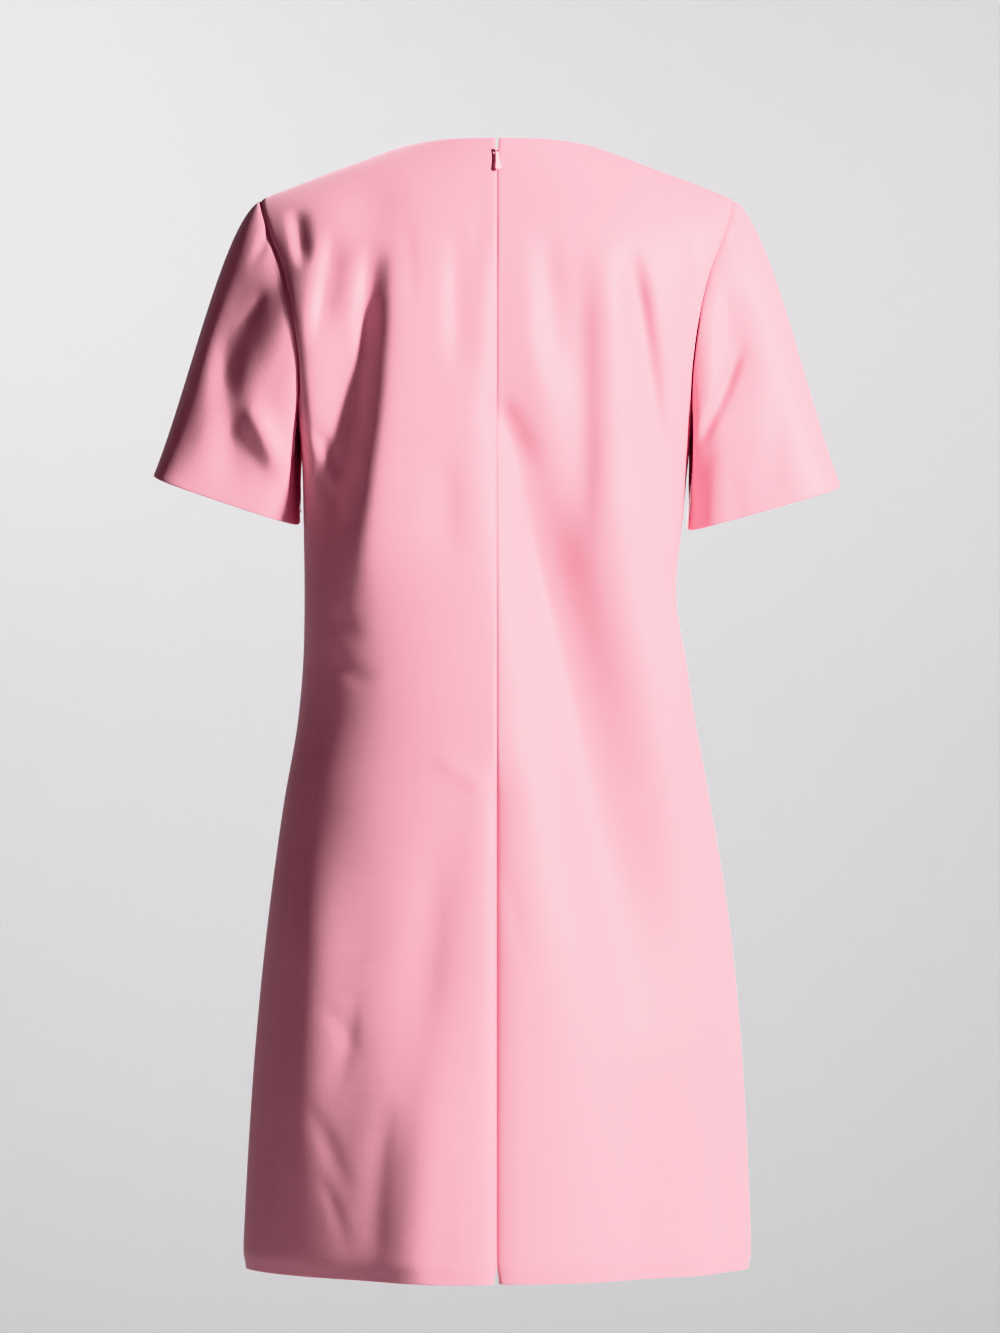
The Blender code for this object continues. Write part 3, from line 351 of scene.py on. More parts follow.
# ---------------------------------------------------------------- tables and curves
def column(rows, names, name):
    """One named column of a table, as an array."""
    return np.array([row[names.index(name)] for row in rows])


def read_smooth(knots, values, at):
    """A smooth curve through the knots: cubic pieces with matched slopes."""
    slopes = np.gradient(values, knots)
    at = np.clip(at, knots[0], knots[-1])
    piece = np.clip(np.searchsorted(knots, at, side="right") - 1, 0, len(knots) - 2)
    span = knots[piece + 1] - knots[piece]
    t = (at - knots[piece]) / span
    return (
        values[piece] * (2 * t**3 - 3 * t**2 + 1)
        + slopes[piece] * span * (t**3 - 2 * t**2 + t)
        + values[piece + 1] * (3 * t**2 - 2 * t**3)
        + slopes[piece + 1] * span * (t**3 - t**2)
    )


def section(name, height):
    """A column of the section table, read at any height."""
    rows = SECTIONS[::-1]
    heights = column(rows, SECTION_COLUMNS, "height")
    return read_smooth(heights, column(rows, SECTION_COLUMNS, name), height)


def smooth_step(start, end, value):
    """From 0 at the start to 1 at the end: 3 t squared less 2 t cubed."""
    t = np.clip((value - start) / (end - start), 0.0, 1.0)
    return t * t * (3 - 2 * t)


# ---------------------------------------------------------------- the smooth body
def ridge(x):
    """Height of the line along the top of the shoulders: a hyperbola about the centre."""
    return RIDGE_PEAK - np.sqrt(RIDGE_ROUND**2 + (SHOULDER_SLOPE * x) ** 2)


def drop_from_roll(roll):
    """Depth below the ridge: it grows as the square of the roll at first, then evenly."""
    return ROLL_UNIT * roll**2 / (np.sqrt(1 + roll**2) + 1)


def roll_from_drop(drop):
    """The way back: the root of a share times the share and 2."""
    share = drop / ROLL_UNIT
    return np.sqrt(share * (share + 2))


def roll_over(roll, x):
    """Share of the full depth reached on the way over the shoulder, from 0 up to 1."""
    size = ROLL_AT_CENTRE + ROLL_GROWTH * np.abs(x)
    return np.sign(roll) * np.sqrt(-np.expm1(-ROLL_FULLNESS * drop_from_roll(roll) / size))


def half_width(height, side):
    """The body's half width on one side, from the section table."""
    return np.where(side < 0, section("left", height), section("right", height))


def section_share(angle, power):
    """A point of the superellipse |x|^p + |y|^p = 1 at an angle from its middle."""
    across = np.sin(angle)
    out = np.cos(angle)
    size = (np.abs(across) ** power + np.abs(out) ** power) ** (-1 / power)
    return across * size, out * size


def squareness(height, side, face):
    """The section's power: the left back has its own."""
    if face == "front":
        return section("front_power", height)
    return section("left_back_power" if side < 0 else "right_back_power", height)


def angle_at(x, height, side, face):
    """The section angle of a point seen at x from straight behind or in front."""
    power = squareness(height, side, face)
    share = np.clip(np.abs(x) / half_width(height, side), 0.0, ALMOST_SEAM) ** power
    return np.arctan((share / (1 - share)) ** (1 / power))


def place(angle, roll, side, face):
    """A point of the smooth body, whose height and x are settled together in a few rounds."""
    drop = drop_from_roll(roll)
    height = -drop
    for _ in range(PLACE_ROUNDS):
        across, out = section_share(angle, squareness(height, side, face))
        x = side * half_width(height, side) * across
        height = ridge(x) - drop
    towards = -1 if face == "back" else 1
    y = towards * section(face, height) * out * roll_over(roll, x)
    return np.stack([x, y, height], axis=-1)


def grid_normals(points, outward, tube=False):
    """Unit normals of a grid of points, from the differences of its rows and columns."""
    down = np.gradient(points, axis=0)
    if tube:
        along = np.roll(points, -1, axis=1) - np.roll(points, 1, axis=1)
    else:
        along = np.gradient(points, axis=1)
    normal = np.cross(along, down) * outward
    return normal / np.linalg.norm(normal, axis=-1, keepdims=True)


def fold_depth(rows, x, height):
    """Depth of the folds at points seen from behind: each is a bell curve across its line."""
    total = np.zeros_like(x)
    for row in rows:
        fold = dict(zip(FOLD_COLUMNS, row))
        run = np.array([fold["end_x"] - fold["start_x"], fold["end_z"] - fold["start_z"]])
        length = np.linalg.norm(run)
        run = run / length
        from_x = x - fold["start_x"]
        from_z = height - fold["start_z"]
        share = (from_x * run[0] + from_z * run[1]) / length
        off = -from_x * run[1] + from_z * run[0]
        off = off - fold["bow"] * np.sin(math.pi * np.clip(share, 0, 1))
        width = fold["width"] + (fold["end_width"] - fold["width"]) * np.clip(share, 0, 1)
        width = width * np.where(off > 0, 1 - fold["lean"], 1 + fold["lean"])
        come = smooth_step(0.0, fold["fade_in"], share)
        go = 1 - smooth_step(1 - fold["fade_out"], 1.0, share)
        total += fold["depth"] * np.exp(-((off / width) ** 2)) * come * go
    return total


# ---------------------------------------------------------------- the edges of a panel
def notch(height):
    """Half width of the opening at the top of the centre-back seam."""
    heights = np.array([-1.0, NOTCH_START, NOTCH_SLIDER, 0.0])
    return np.interp(height, heights, [0.0, 0.0, NOTCH_AT_SLIDER, NOTCH_TOP])


def side_seam_angle(face, height):
    """The section angle half a seam gap short of the side, where the section turns over."""
    return math.pi / 2 - SEAM_GAP / 2 / section(face, height)


def shoulder_seam_roll(face):
    """The roll half a seam gap away from the ridge."""
    return SEAM_GAP / 2 / section(face, np.array([0.0]))[0]


def centre_edge(face, side, below, above):
    """Angle and roll down the centre line, at shares below and above the underarm row."""
    top = 0.0 if face == "back" else -FRONT_NECK_DROP
    hem = -DRESS_LENGTH + HEM_RISE
    height = np.concatenate(
        [hem + (ROW_MEETS - hem) * below, ROW_MEETS + (top - ROW_MEETS) * above[1:]]
    )
    x = SEAM_GAP / 2 + notch(height) if face == "back" else np.zeros_like(height)
    return angle_at(x, height, side, face), roll_from_drop(ridge(x) - height)


def side_edge(face, side, below, above):
    """Angle and roll up the side seam and then round the armhole."""
    rows = ARMHOLE[::-1]
    height = column(rows, ARMHOLE_COLUMNS, "height")
    out_at = column(rows, ARMHOLE_COLUMNS, face + "_share") * half_width(height, side)
    angle = angle_at(out_at, height, side, face)
    angle[0] = math.pi / 2
    steps = np.hypot(np.diff(height), np.diff(angle) * ARMHOLE_ARM)
    along = np.concatenate([[0.0], np.cumsum(steps)])
    arm_height = read_smooth(along, height, along[-1] * above)
    arm_angle = read_smooth(along, angle, along[-1] * above)
    across, _ = section_share(arm_angle, squareness(arm_height, side, face))
    x = half_width(arm_height, side) * across
    arm_roll = roll_from_drop(np.maximum(ridge(x) - arm_height, 0.0))
    arm_angle[0] = side_seam_angle(face, arm_height[:1])[0]
    arm_roll[-1] = shoulder_seam_roll(face)
    height = -DRESS_LENGTH + (UNDERARM + DRESS_LENGTH) * below[:-1]
    roll = roll_from_drop(ridge(half_width(height, side)) - height)
    angle = side_seam_angle(face, height)
    return np.concatenate([angle, arm_angle]), np.concatenate([roll, arm_roll])


def top_edge(face, side, neck, shoulder, last_angle):
    """Angle and roll along the neckline and then out along the shoulder seam."""
    first_x = SEAM_GAP / 2 + NOTCH_TOP if face == "back" else 0.0
    turn = neck * math.pi / 2
    x = first_x + (NECK_HALF_WIDTH - first_x) * np.sin(turn)
    if face == "back":
        height = NECK_LIFT * smooth_step(0.0, NECK_LIFT_REACH, x / NECK_HALF_WIDTH)
    else:
        drop = (FRONT_NECK_DROP + NECK_LIFT) * np.cos(turn) ** FRONT_NECK_POWER
        height = NECK_LIFT - drop
    roll = roll_from_drop(np.maximum(ridge(x) - height, 0.0))
    angle = angle_at(x, height, side, face)
    seam = shoulder_seam_roll(face)
    roll[-1] = seam
    out_angle = angle[-1] + (last_angle - angle[-1]) * shoulder[1:]
    return np.concatenate([angle, out_angle]), np.concatenate([roll, 0 * out_angle + seam])


def hem_edge(face, side, share, first_angle):
    """Angle and roll round the hem, from the centre out to the side seam."""
    end = side_seam_angle(face, np.array([-DRESS_LENGTH]))[0]
    angle = first_angle + (end - first_angle) * share
    height = -DRESS_LENGTH + HEM_RISE * np.cos(angle) ** 2
    across, _ = section_share(angle, squareness(height, side, face))
    x = half_width(height, side) * across
    return angle, roll_from_drop(ridge(x) - height)


def blend_edges(hem, top, centre, side, s, t):
    """A grid between four edges that meet at their corners: across plus up less corners.

    The top edge's own spacing holds close to it: its weight is a power of t.
    """
    s = s[None, :]
    t = t[:, None] ** TOP_HOLDS
    across = (1 - s) * centre[:, None] + s * side[:, None]
    up = (1 - t) * hem[None, :] + t * top[None, :]
    low = (1 - s) * hem[0] + s * hem[-1]
    high = (1 - s) * top[0] + s * top[-1]
    return across + up - (1 - t) * low - t * high


@functools.cache
def panel(face, side):
    """The outer face of half a front or back with its folds, row by row from the hem.

    Returns the points, and the sign that turns a normal of the grid outwards.
    """
    settings = bpy.context.scene.dress
    rows_below = settings.rows * 2 // 3
    rows_above = settings.rows - rows_below
    # the front is one piece, and shares its columns between its halves
    half = settings.columns // (2 if face == "back" else 4)
    below = np.linspace(0.0, 1.0, rows_below + 1)
    above = np.linspace(0.0, 1.0, rows_above + 1)
    inner = np.linspace(0.0, 1.0, half + 1)
    edge = np.array(EDGE_STEPS)
    neck = np.concatenate([[0.0], edge, inner[inner > edge[-1] + EDGE_CLEAR]])
    even = inner[inner < 1 - edge[-1] - EDGE_CLEAR]
    shoulder = np.concatenate([even, 1 - edge[::-1], [1.0]])
    s = np.concatenate([neck * NECK_SHARE, NECK_SHARE + (1 - NECK_SHARE) * shoulder[1:]])
    t = np.concatenate([below * ARM_ROW, ARM_ROW + (1 - ARM_ROW) * above[1:]])
    centre_angle, centre_roll = centre_edge(face, side, below, above)
    side_angle, side_roll = side_edge(face, side, below, above)
    top_angle, top_roll = top_edge(face, side, neck, shoulder, side_angle[-1])
    hem_angle, hem_roll = hem_edge(face, side, s, centre_angle[0])
    centre_angle[-1], centre_roll[-1] = top_angle[0], top_roll[0]
    centre_roll[0], side_roll[0] = hem_roll[0], hem_roll[-1]
    angle = blend_edges(hem_angle, top_angle, centre_angle, side_angle, s, t)
    roll = blend_edges(hem_roll, top_roll, centre_roll, side_roll, s, t)
    smooth = place(angle, roll, side, face)
    outward = side if face == "back" else -side
    calm = smooth_step(0.0, CALM_BY_SEAM, np.cos(angle))
    calm *= smooth_step(0.0, CALM_BY_SHOULDER, roll)
    x, height = smooth[..., 0], smooth[..., 2]
    folds = BACK_FOLDS if face == "back" else FRONT_FOLDS
    creases = BACK_CREASES if face == "back" else FRONT_CREASES
    depth = fold_depth(folds, x, height) * calm
    depth += fold_depth(creases, x, height) * settings.crease_strength
    if face == "back":
        depth += centre_valley(smooth, side)
    points = smooth.copy()
    points[..., 1] += depth if face == "back" else -depth
    normal = grid_normals(points, outward)
    return points - normal * seam_depth(points, s)[..., None], outward


def run_length(points, axis):
    """Distance along each row or column of a grid, from its first point."""
    step = np.linalg.norm(np.diff(points, axis=axis), axis=-1)
    first = np.zeros_like(np.take(step, [0], axis=axis))
    return np.concatenate([first, np.cumsum(step, axis=axis)], axis=axis)


def seam_depth(points, s):
    """How far the cloth rolls in by its seams and its hem: bell curves."""
    from_centre = run_length(points, 1)
    from_side = from_centre[:, -1:] - from_centre
    from_hem = run_length(points, 0)
    from_top = from_hem[-1:] - from_hem
    at_shoulder = smooth_step(NECK_SHARE, NECK_SHARE + SHOULDER_RAMP, s)[None]
    by_side = np.exp(-((from_side / SEAM_ROLL) ** 2))
    by_shoulder = np.exp(-((from_top / SEAM_ROLL) ** 2)) * at_shoulder
    by_hem = np.exp(-((from_hem / HEM_CURL_REACH) ** 2))
    return SEAM_DIP * np.maximum(by_side, by_shoulder) + HEM_CURL * by_hem


def centre_valley(points, side):
    """How far the back sinks towards its centre seam: a fine dip, and below the zip a V."""
    from_centre = run_length(points, 1)
    below = 1 - smooth_step(ZIP_END - VALLEY_FADE, ZIP_END + VALLEY_FADE, points[..., 2])
    dip = CENTRE_DIP * np.exp(-((from_centre / CENTRE_ROLL) ** 2)) * (1 - VALLEY_EASES_DIP * below)
    return dip + VALLEY_DEPTH * np.exp(-from_centre / VALLEY_REACH[side]) * below


# ---------------------------------------------------------------- cloth
def arc(first, normal, down, radius, depth):
    """Points of a half circle that turns the cloth under, from its face to its back."""
    turn = np.linspace(0.0, math.pi, TURN_STEPS + 2)[1:-1, None, None]
    middle = first - normal * depth
    return middle + down * radius * np.sin(turn) + normal * radius * np.cos(turn)


def turned_sheet(points, normal, thickness, gap, rows_up, rows_down):
    """Right and wrong side of a sheet whose first and last rows are turned under.

    The right side runs down the turning inside, round the fold, along the face, round the
    other fold and along the other turning, with the wrong side a thickness within.
    """
    full = 2 * thickness + gap
    down = points[0] - points[1]
    down = down / np.linalg.norm(down, axis=-1, keepdims=True)
    up = points[-1] - points[-2]
    up = up / np.linalg.norm(up, axis=-1, keepdims=True)
    hem_right = arc(points[0], normal[0], down, full / 2, full / 2)[::-1]
    hem_wrong = arc(points[0], normal[0], down, gap / 2, full / 2)[::-1]
    top_right = arc(points[-1], normal[-1], up, full / 2, full / 2)
    top_wrong = arc(points[-1], normal[-1], up, gap / 2, full / 2)
    inside = points - normal * full
    within = points - normal * (thickness + gap)
    face = points - normal * thickness
    right = [inside[rows_up:0:-1], inside[:1], hem_right, points, top_right, inside[-1:]]
    wrong = [within[rows_up:0:-1], within[:1], hem_wrong, face, top_wrong, within[-1:]]
    if rows_down:
        right.append(inside[-2 : -2 - rows_down : -1])
        wrong.append(within[-2 : -2 - rows_down : -1])
    return np.concatenate(right), np.concatenate(wrong)


def quads(first, second):
    """Faces of four corners between two lines of point numbers."""
    return np.stack([first[:-1], first[1:], second[1:], second[:-1]], axis=-1)


def signed_volume(points, faces):
    """Six times the volume inside, below 0 if the faces point in: each face to the origin."""
    corners = points[faces]
    first = np.cross(corners[:, 0], corners[:, 1])
    second = np.cross(corners[:, 0], corners[:, 2])
    volume = np.einsum("ij,ij->", first, corners[:, 2])
    return volume + np.einsum("ij,ij->", second, corners[:, 3])


def grain(points, tube=False):
    """Distances over the cloth, along its rows and its columns, for a pattern to follow."""
    if tube:
        points = np.concatenate([points, points[:, :1]], axis=1)
    across = np.linalg.norm(np.diff(points, axis=1), axis=-1)
    across = np.concatenate([np.zeros((len(points), 1)), np.cumsum(across, axis=1)], axis=1)
    along = np.linalg.norm(np.diff(points, axis=0), axis=-1).mean(axis=1)
    along = np.concatenate([[0.0], np.cumsum(along)])[:, None] + 0 * across
    return np.stack([across, along], axis=-1)


def add_mesh(name, points, faces, material, body, corners=None):
    """A smooth mesh from whole arrays, turned the right way out, riding on a body."""
    centred = points - points.mean(axis=0)
    flip = signed_volume(centred, faces) < 0
    if flip:
        faces = faces[:, ::-1]
        corners = None if corners is None else corners[:, ::-1]
    mesh = bpy.data.meshes.new(name)
    mesh.vertices.add(len(points))
    mesh.vertices.foreach_set("co", np.ascontiguousarray(points, np.float32).ravel())
    mesh.loops.add(faces.size)
    mesh.loops.foreach_set("vertex_index", np.ascontiguousarray(faces, np.int32).ravel())
    mesh.polygons.add(len(faces))
    mesh.polygons.foreach_set("loop_start", np.arange(0, faces.size, 4, dtype=np.int32))
    if corners is not None:
        layer = mesh.uv_layers.new(name="grain")
        layer.data.foreach_set("uv", np.ascontiguousarray(corners, np.float32).ravel())
    mesh.update(calc_edges=True)
    mesh.validate()
    mesh.shade_smooth()
    mesh.materials.append(material)
    made = bpy.data.objects.new(name, mesh)
    bpy.context.scene.collection.objects.link(made)
    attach(made, body)
    return made


def add_cloth(name, right, wrong, material, tube=False):
    """A closed wall between the right and the wrong side of a sheet."""
    rows, columns = right.shape[:2]
    number = np.arange(rows * columns).reshape(rows, columns)
    flat = grain(right, tube)
    if tube:
        number = np.hstack([number, number[:, :1]])
    inside = number + rows * columns
    faces, corners = [], []

    def strip(first, second, flat_first, flat_second):
        faces.append(quads(first, second))
        picked = [flat_first[:-1], flat_first[1:], flat_second[1:], flat_second[:-1]]
        corners.append(np.stack(picked, axis=1))

    for i in range(rows - 1):
        strip(number[i], number[i + 1], flat[i], flat[i + 1])
        strip(inside[i + 1], inside[i], flat[i + 1], flat[i])
    strip(inside[0], number[0], flat[0], flat[0])
    strip(number[-1], inside[-1], flat[-1], flat[-1])
    if not tube:
        strip(number[:, 0], inside[:, 0], flat[:, 0], flat[:, 0])
        strip(inside[:, -1], number[:, -1], flat[:, -1], flat[:, -1])
    points = np.vstack([right.reshape(-1, 3), wrong.reshape(-1, 3)])
    return add_mesh(name, points, np.vstack(faces), material, "dress", np.vstack(corners))


# ---------------------------------------------------------------- materials
def shader_of(material):
    """A material's own shader node."""
    return material.node_tree.nodes["Principled BSDF"]


def new_material(name, colour, roughness):
    """A plain material of one colour and one roughness."""
    made = bpy.data.materials.new(name)
    made.use_nodes = True
    shader = shader_of(made)
    shader.inputs["Base Color"].default_value = (*colour, 1.0)
    shader.inputs["Roughness"].default_value = roughness
    return made


def new_group(name, inputs, outputs):
    """An empty node group with its sockets, and its input and output nodes."""
    group = bpy.data.node_groups.new(name, "ShaderNodeTree")
    for socket, kind, value in inputs:
        made = group.interface.new_socket(name=socket, in_out="INPUT", socket_type=kind)
        if value is not None:
            made.default_value = value
    for socket, kind in outputs:
        group.interface.new_socket(name=socket, in_out="OUTPUT", socket_type=kind)
    return group, group.nodes.new("NodeGroupInput"), group.nodes.new("NodeGroupOutput")


def add_node(tree, kind, values=(), **settings):
    """A node with its settings, and with default values for its inputs by name."""
    made = tree.nodes.new(kind)
    for name, value in settings.items():
        setattr(made, name, value)
    for name, value in dict(values).items():
        made.inputs[name].default_value = value
    return made


def calculate(tree, operation, first, second):
    """A math node between two sockets or numbers, and its result."""
    made = add_node(tree, "ShaderNodeMath", operation=operation)
    for socket, value in zip(made.inputs, (first, second)):
        if isinstance(value, bpy.types.NodeSocket):
            tree.links.new(value, socket)
        else:
            socket.default_value = value
    return made.outputs[0]


@functools.cache
def weave_group():
    """A satin weave: long floats in a diagonal order, with uneven yarns and soft slubs."""
    group, start, end = new_group(
        "woven cloth",
        [
            ("Colour", "NodeSocketColor", None),
            ("Threads", "NodeSocketFloat", 1500.0),
            ("Cloudiness", "NodeSocketFloat", 0.05),
            ("Roughness", "NodeSocketFloat", 0.5),
        ],
        [("Colour", "NodeSocketColor"), ("Roughness", "NodeSocketFloat"), ("Height", "NodeSocketFloat")],
    )
    link = group.links.new
    grain_uv = add_node(group, "ShaderNodeUVMap", uv_map="grain")
    split = add_node(group, "ShaderNodeSeparateXYZ")
    link(grain_uv.outputs["UV"], split.inputs[0])
    across = calculate(group, "MULTIPLY", split.outputs["X"], start.outputs["Threads"])
    along = calculate(group, "MULTIPLY", split.outputs["Y"], start.outputs["Threads"])
    warp = calculate(group, "SINE", calculate(group, "MULTIPLY", across, 2 * math.pi), 0.0)
    # each row of floats is set three yarns on from the last, as in a five-end satin
    shifted = calculate(group, "ADD", calculate(group, "MULTIPLY", across, 0.6), along)
    floats = calculate(group, "SINE", calculate(group, "MULTIPLY", shifted, 0.4 * math.pi), 0.0)
    yarns = calculate(group, "ADD", calculate(group, "MULTIPLY", warp, 0.5), floats)

    def cloud(scale, stretch, detail):
        mapped = add_node(group, "ShaderNodeMapping", {"Scale": stretch})
        link(grain_uv.outputs["UV"], mapped.inputs["Vector"])
        noise = add_node(group, "ShaderNodeTexNoise", {"Scale": scale, "Detail": detail})
        link(mapped.outputs[0], noise.inputs["Vector"])
        return noise.outputs["Fac"]

    slubs = cloud(260.0, (1.0, 0.05, 1.0), 2.0)
    cross_slubs = cloud(260.0, (0.05, 1.0, 1.0), 2.0)
    broad = cloud(9.0, (1.0, 0.6, 1.0), 3.0)
    threads = calculate(group, "ADD", slubs, cross_slubs)
    height = calculate(group, "ADD", calculate(group, "MULTIPLY", yarns, 0.35), threads)
    link(height, end.inputs["Height"])

    mottle = calculate(group, "ADD", calculate(group, "MULTIPLY", threads, 0.5), broad)
    mottle = calculate(group, "SUBTRACT", mottle, 1.0)
    mottle = calculate(group, "ADD", mottle, calculate(group, "MULTIPLY", yarns, 0.12))
    value = calculate(group, "ADD", calculate(group, "MULTIPLY", mottle, start.outputs["Cloudiness"]), 1.0)
    tone = add_node(group, "ShaderNodeHueSaturation")
    link(start.outputs["Colour"], tone.inputs["Color"])
    link(value, tone.inputs["Value"])
    link(tone.outputs["Color"], end.inputs["Colour"])
    uneven = calculate(group, "MULTIPLY", calculate(group, "SUBTRACT", broad, 0.5), 0.16)
    link(calculate(group, "ADD", start.outputs["Roughness"], uneven), end.inputs["Roughness"])
    return group


def woven(name, colour, roughness, threads, cloudiness, bump_height):
    """A cloth material: the weave's colour, roughness and bump on a plain shader."""
    made = new_material(name, colour, roughness)
    tree = made.node_tree
    shader = shader_of(made)
    weave = add_node(tree, "ShaderNodeGroup", node_tree=weave_group())
    weave.inputs["Colour"].default_value = (*colour, 1.0)
    weave.inputs["Threads"].default_value = threads
    weave.inputs["Cloudiness"].default_value = cloudiness
    weave.inputs["Roughness"].default_value = roughness
    bump = add_node(tree, "ShaderNodeBump", {"Strength": 0.35, "Distance": bump_height})
    tree.links.new(weave.outputs["Height"], bump.inputs["Height"])
    tree.links.new(weave.outputs["Colour"], shader.inputs["Base Color"])
    tree.links.new(weave.outputs["Roughness"], shader.inputs["Roughness"])
    tree.links.new(bump.outputs["Normal"], shader.inputs["Normal"])
    return made


@functools.cache
def rose_satin():
    """The dress's satin: close threads and a soft sheen at grazing angles."""
    made = woven("rose satin", bpy.context.scene.dress.cloth_colour, 0.56, 1700.0, 0.11, 0.00016)
    shader = shader_of(made)
    shader.inputs["Specular IOR Level"].default_value = 0.5
    shader.inputs["Diffuse Roughness"].default_value = 0.3
    shader.inputs["Sheen Weight"].default_value = 0.35
    shader.inputs["Sheen Roughness"].default_value = 0.4
    shader.inputs["Sheen Tint"].default_value = (1.0, 0.86, 0.9, 1.0)
    return made


@functools.cache
def zip_tape():
    """The zip's tape: coarser and quite matt."""
    return woven("zip tape", bpy.context.scene.dress.tape_colour, 0.85, 900.0, 0.12, 0.00012)


def glossy(name, colour):
    """A glossy finish for a small part: faint orange peel and fine specks."""
    made = new_material(name, colour, 0.3)
    tree = made.node_tree
    shader = shader_of(made)
    shader.inputs["Coat Weight"].default_value = 0.35
    shader.inputs["Coat Roughness"].default_value = 0.12
    place_in = add_node(tree, "ShaderNodeTexCoord")
    noise = add_node(tree, "ShaderNodeTexNoise", {"Scale": 900.0, "Detail": 2.0})
    tree.links.new(place_in.outputs["Object"], noise.inputs["Vector"])
    specks = add_node(tree, "ShaderNodeMapRange", {"To Min": 0.92, "To Max": 1.04})
    tree.links.new(noise.outputs["Fac"], specks.inputs["Value"])
    tone = add_node(tree, "ShaderNodeHueSaturation", {"Color": (*colour, 1.0)})
    tree.links.new(specks.outputs["Result"], tone.inputs["Value"])
    tree.links.new(tone.outputs["Color"], shader.inputs["Base Color"])
    gloss = add_node(tree, "ShaderNodeMapRange", {"To Min": 0.24, "To Max": 0.42})
    tree.links.new(noise.outputs["Fac"], gloss.inputs["Value"])
    tree.links.new(gloss.outputs["Result"], shader.inputs["Roughness"])
    bump = add_node(tree, "ShaderNodeBump", {"Strength": 0.15, "Distance": 0.00004})
    tree.links.new(noise.outputs["Fac"], bump.inputs["Height"])
    tree.links.new(bump.outputs["Normal"], shader.inputs["Normal"])
    return made


@functools.cache
def painted_metal():
    """Gloss paint on the slider and its pull tab."""
    return glossy("painted zip pull", bpy.context.scene.dress.pull_colour)


@functools.cache
def nylon():
    """The coil's nylon, dyed as the tape."""
    return glossy("zip coil", bpy.context.scene.dress.tape_colour)


# ---------------------------------------------------------------- settings
class DressSettings(bpy.types.PropertyGroup):
    """Sizes and colours of the dress."""

    cloth_thickness: FloatProperty(
        name="Cloth thickness",
        description="Thickness of one layer of the cloth",
        default=0.0006,
        min=0.0002,
        max=0.002,
        precision=4,
        unit="LENGTH",
    )
    turning_gap: FloatProperty(
        name="Turning gap",
        description="Room between the face and a turning",
        default=0.0003,
        precision=4,
        unit="LENGTH",
    )
    rows: IntProperty(
        name="Rows",
        description="Rows of each panel, from the hem to the shoulder",
        default=330,
        min=32,
    )
    columns: IntProperty(
        name="Columns",
        description="Columns of each back, and of the whole front",
        default=110,
        min=16,
    )
    crease_strength: FloatProperty(
        name="Crease strength",
        description="How deep the small creases are",
        default=1.0,
        min=0.0,
        max=2.0,
        subtype="FACTOR",
    )
    cloth_colour: FloatVectorProperty(
        name="Cloth colour",
        description="Colour of the satin",
        subtype="COLOR",
        default=(0.86, 0.485, 0.555),
        min=0.0,
        max=1.0,
    )
    tape_colour: FloatVectorProperty(
        name="Tape colour",
        description="Colour of the zip's tape and coil",
        subtype="COLOR",
        default=(0.74, 0.36, 0.44),
        min=0.0,
        max=1.0,
    )
    pull_colour: FloatVectorProperty(
        name="Pull colour",
        description="Colour of the slider and its pull tab",
        subtype="COLOR",
        default=(0.93, 0.70, 0.74),
        min=0.0,
        max=1.0,
    )


class StageSettings(bpy.types.PropertyGroup):
    """The floor, the backdrop and the lights."""

    floor_height: FloatProperty(
        name="Floor height",
        description="Height of the floor",
        default=-1.75,
        unit="LENGTH",
    )
    backdrop_colour: FloatVectorProperty(
        name="Backdrop colour",
        description="Colour of the floor and the backdrop",
        subtype="COLOR",
        default=(0.66, 0.655, 0.66),
        min=0.0,
        max=1.0,
    )
    world_light: FloatProperty(
        name="World light",
        description="How strongly the surroundings light the dress",
        default=0.16,
    )
    world_look: FloatProperty(
        name="World look",
        description="How bright the surroundings look beyond the floor",
        default=0.9,
    )
    key_power: FloatProperty(
        name="Key power",
        description="Power of the key light",
        default=152.0,
        unit="POWER",
    )


# ---------------------------------------------------------------- operators
def add_turned_cloth(name, points, normal, rows_up, rows_down=0, tube=False):
    """A piece of the satin with its lower and upper edges turned under."""
    settings = bpy.context.scene.dress
    sizes = (settings.cloth_thickness, settings.turning_gap, rows_up, rows_down)
    right, wrong = turned_sheet(points, normal, *sizes)
    return add_cloth(name, right, wrong, rose_satin(), tube)


class DRESS_OT_backs(bpy.types.Operator):
    """Make the left and the right back."""

    bl_idname = "dress.backs"
    bl_label = "Backs"

    def execute(self, context):
        for name, side in (("back_left", -1), ("back_right", 1)):
            points, outward = panel("back", side)
            normal = grid_normals(points, outward)
            made = add_turned_cloth(name + "_cloth", points, normal, HEM_TURNING, NECK_TURNING)
            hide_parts(name)
        return {"FINISHED"}


class DRESS_OT_front(bpy.types.Operator):
    """Make the front, cut in one piece."""

    bl_idname = "dress.front"
    bl_label = "Front"

    def execute(self, context):
        left, _ = panel("front", -1)
        right, _ = panel("front", 1)
        points = np.concatenate([left[:, :0:-1], right], axis=1)
        normal = grid_normals(points, -1)
        made = add_turned_cloth("front_cloth", points, normal, HEM_TURNING, NECK_TURNING)
        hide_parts("front_panel")
        return {"FINISHED"}


def armhole_loop(side):
    """The armhole: shoulder point, down the back, underarm, up the front."""
    back = panel("back", side)[0][:, -1]
    front = panel("front", side)[0][:, -1]
    settings = bpy.context.scene.dress
    start = settings.rows * 2 // 3
    down_back = back[start:][::-1]
    up_front = front[start:]
    middle = (down_back[-1] + up_front[0]) / 2
    top = (down_back[0] + up_front[-1]) / 2
    return np.vstack([[top], down_back[1:-1], [middle], up_front[1:-1]])


def squared(share):
    """Makes an oval a little squarer: the share to a power below 1."""
    return np.sign(share) * np.abs(share) ** CUFF_POWER


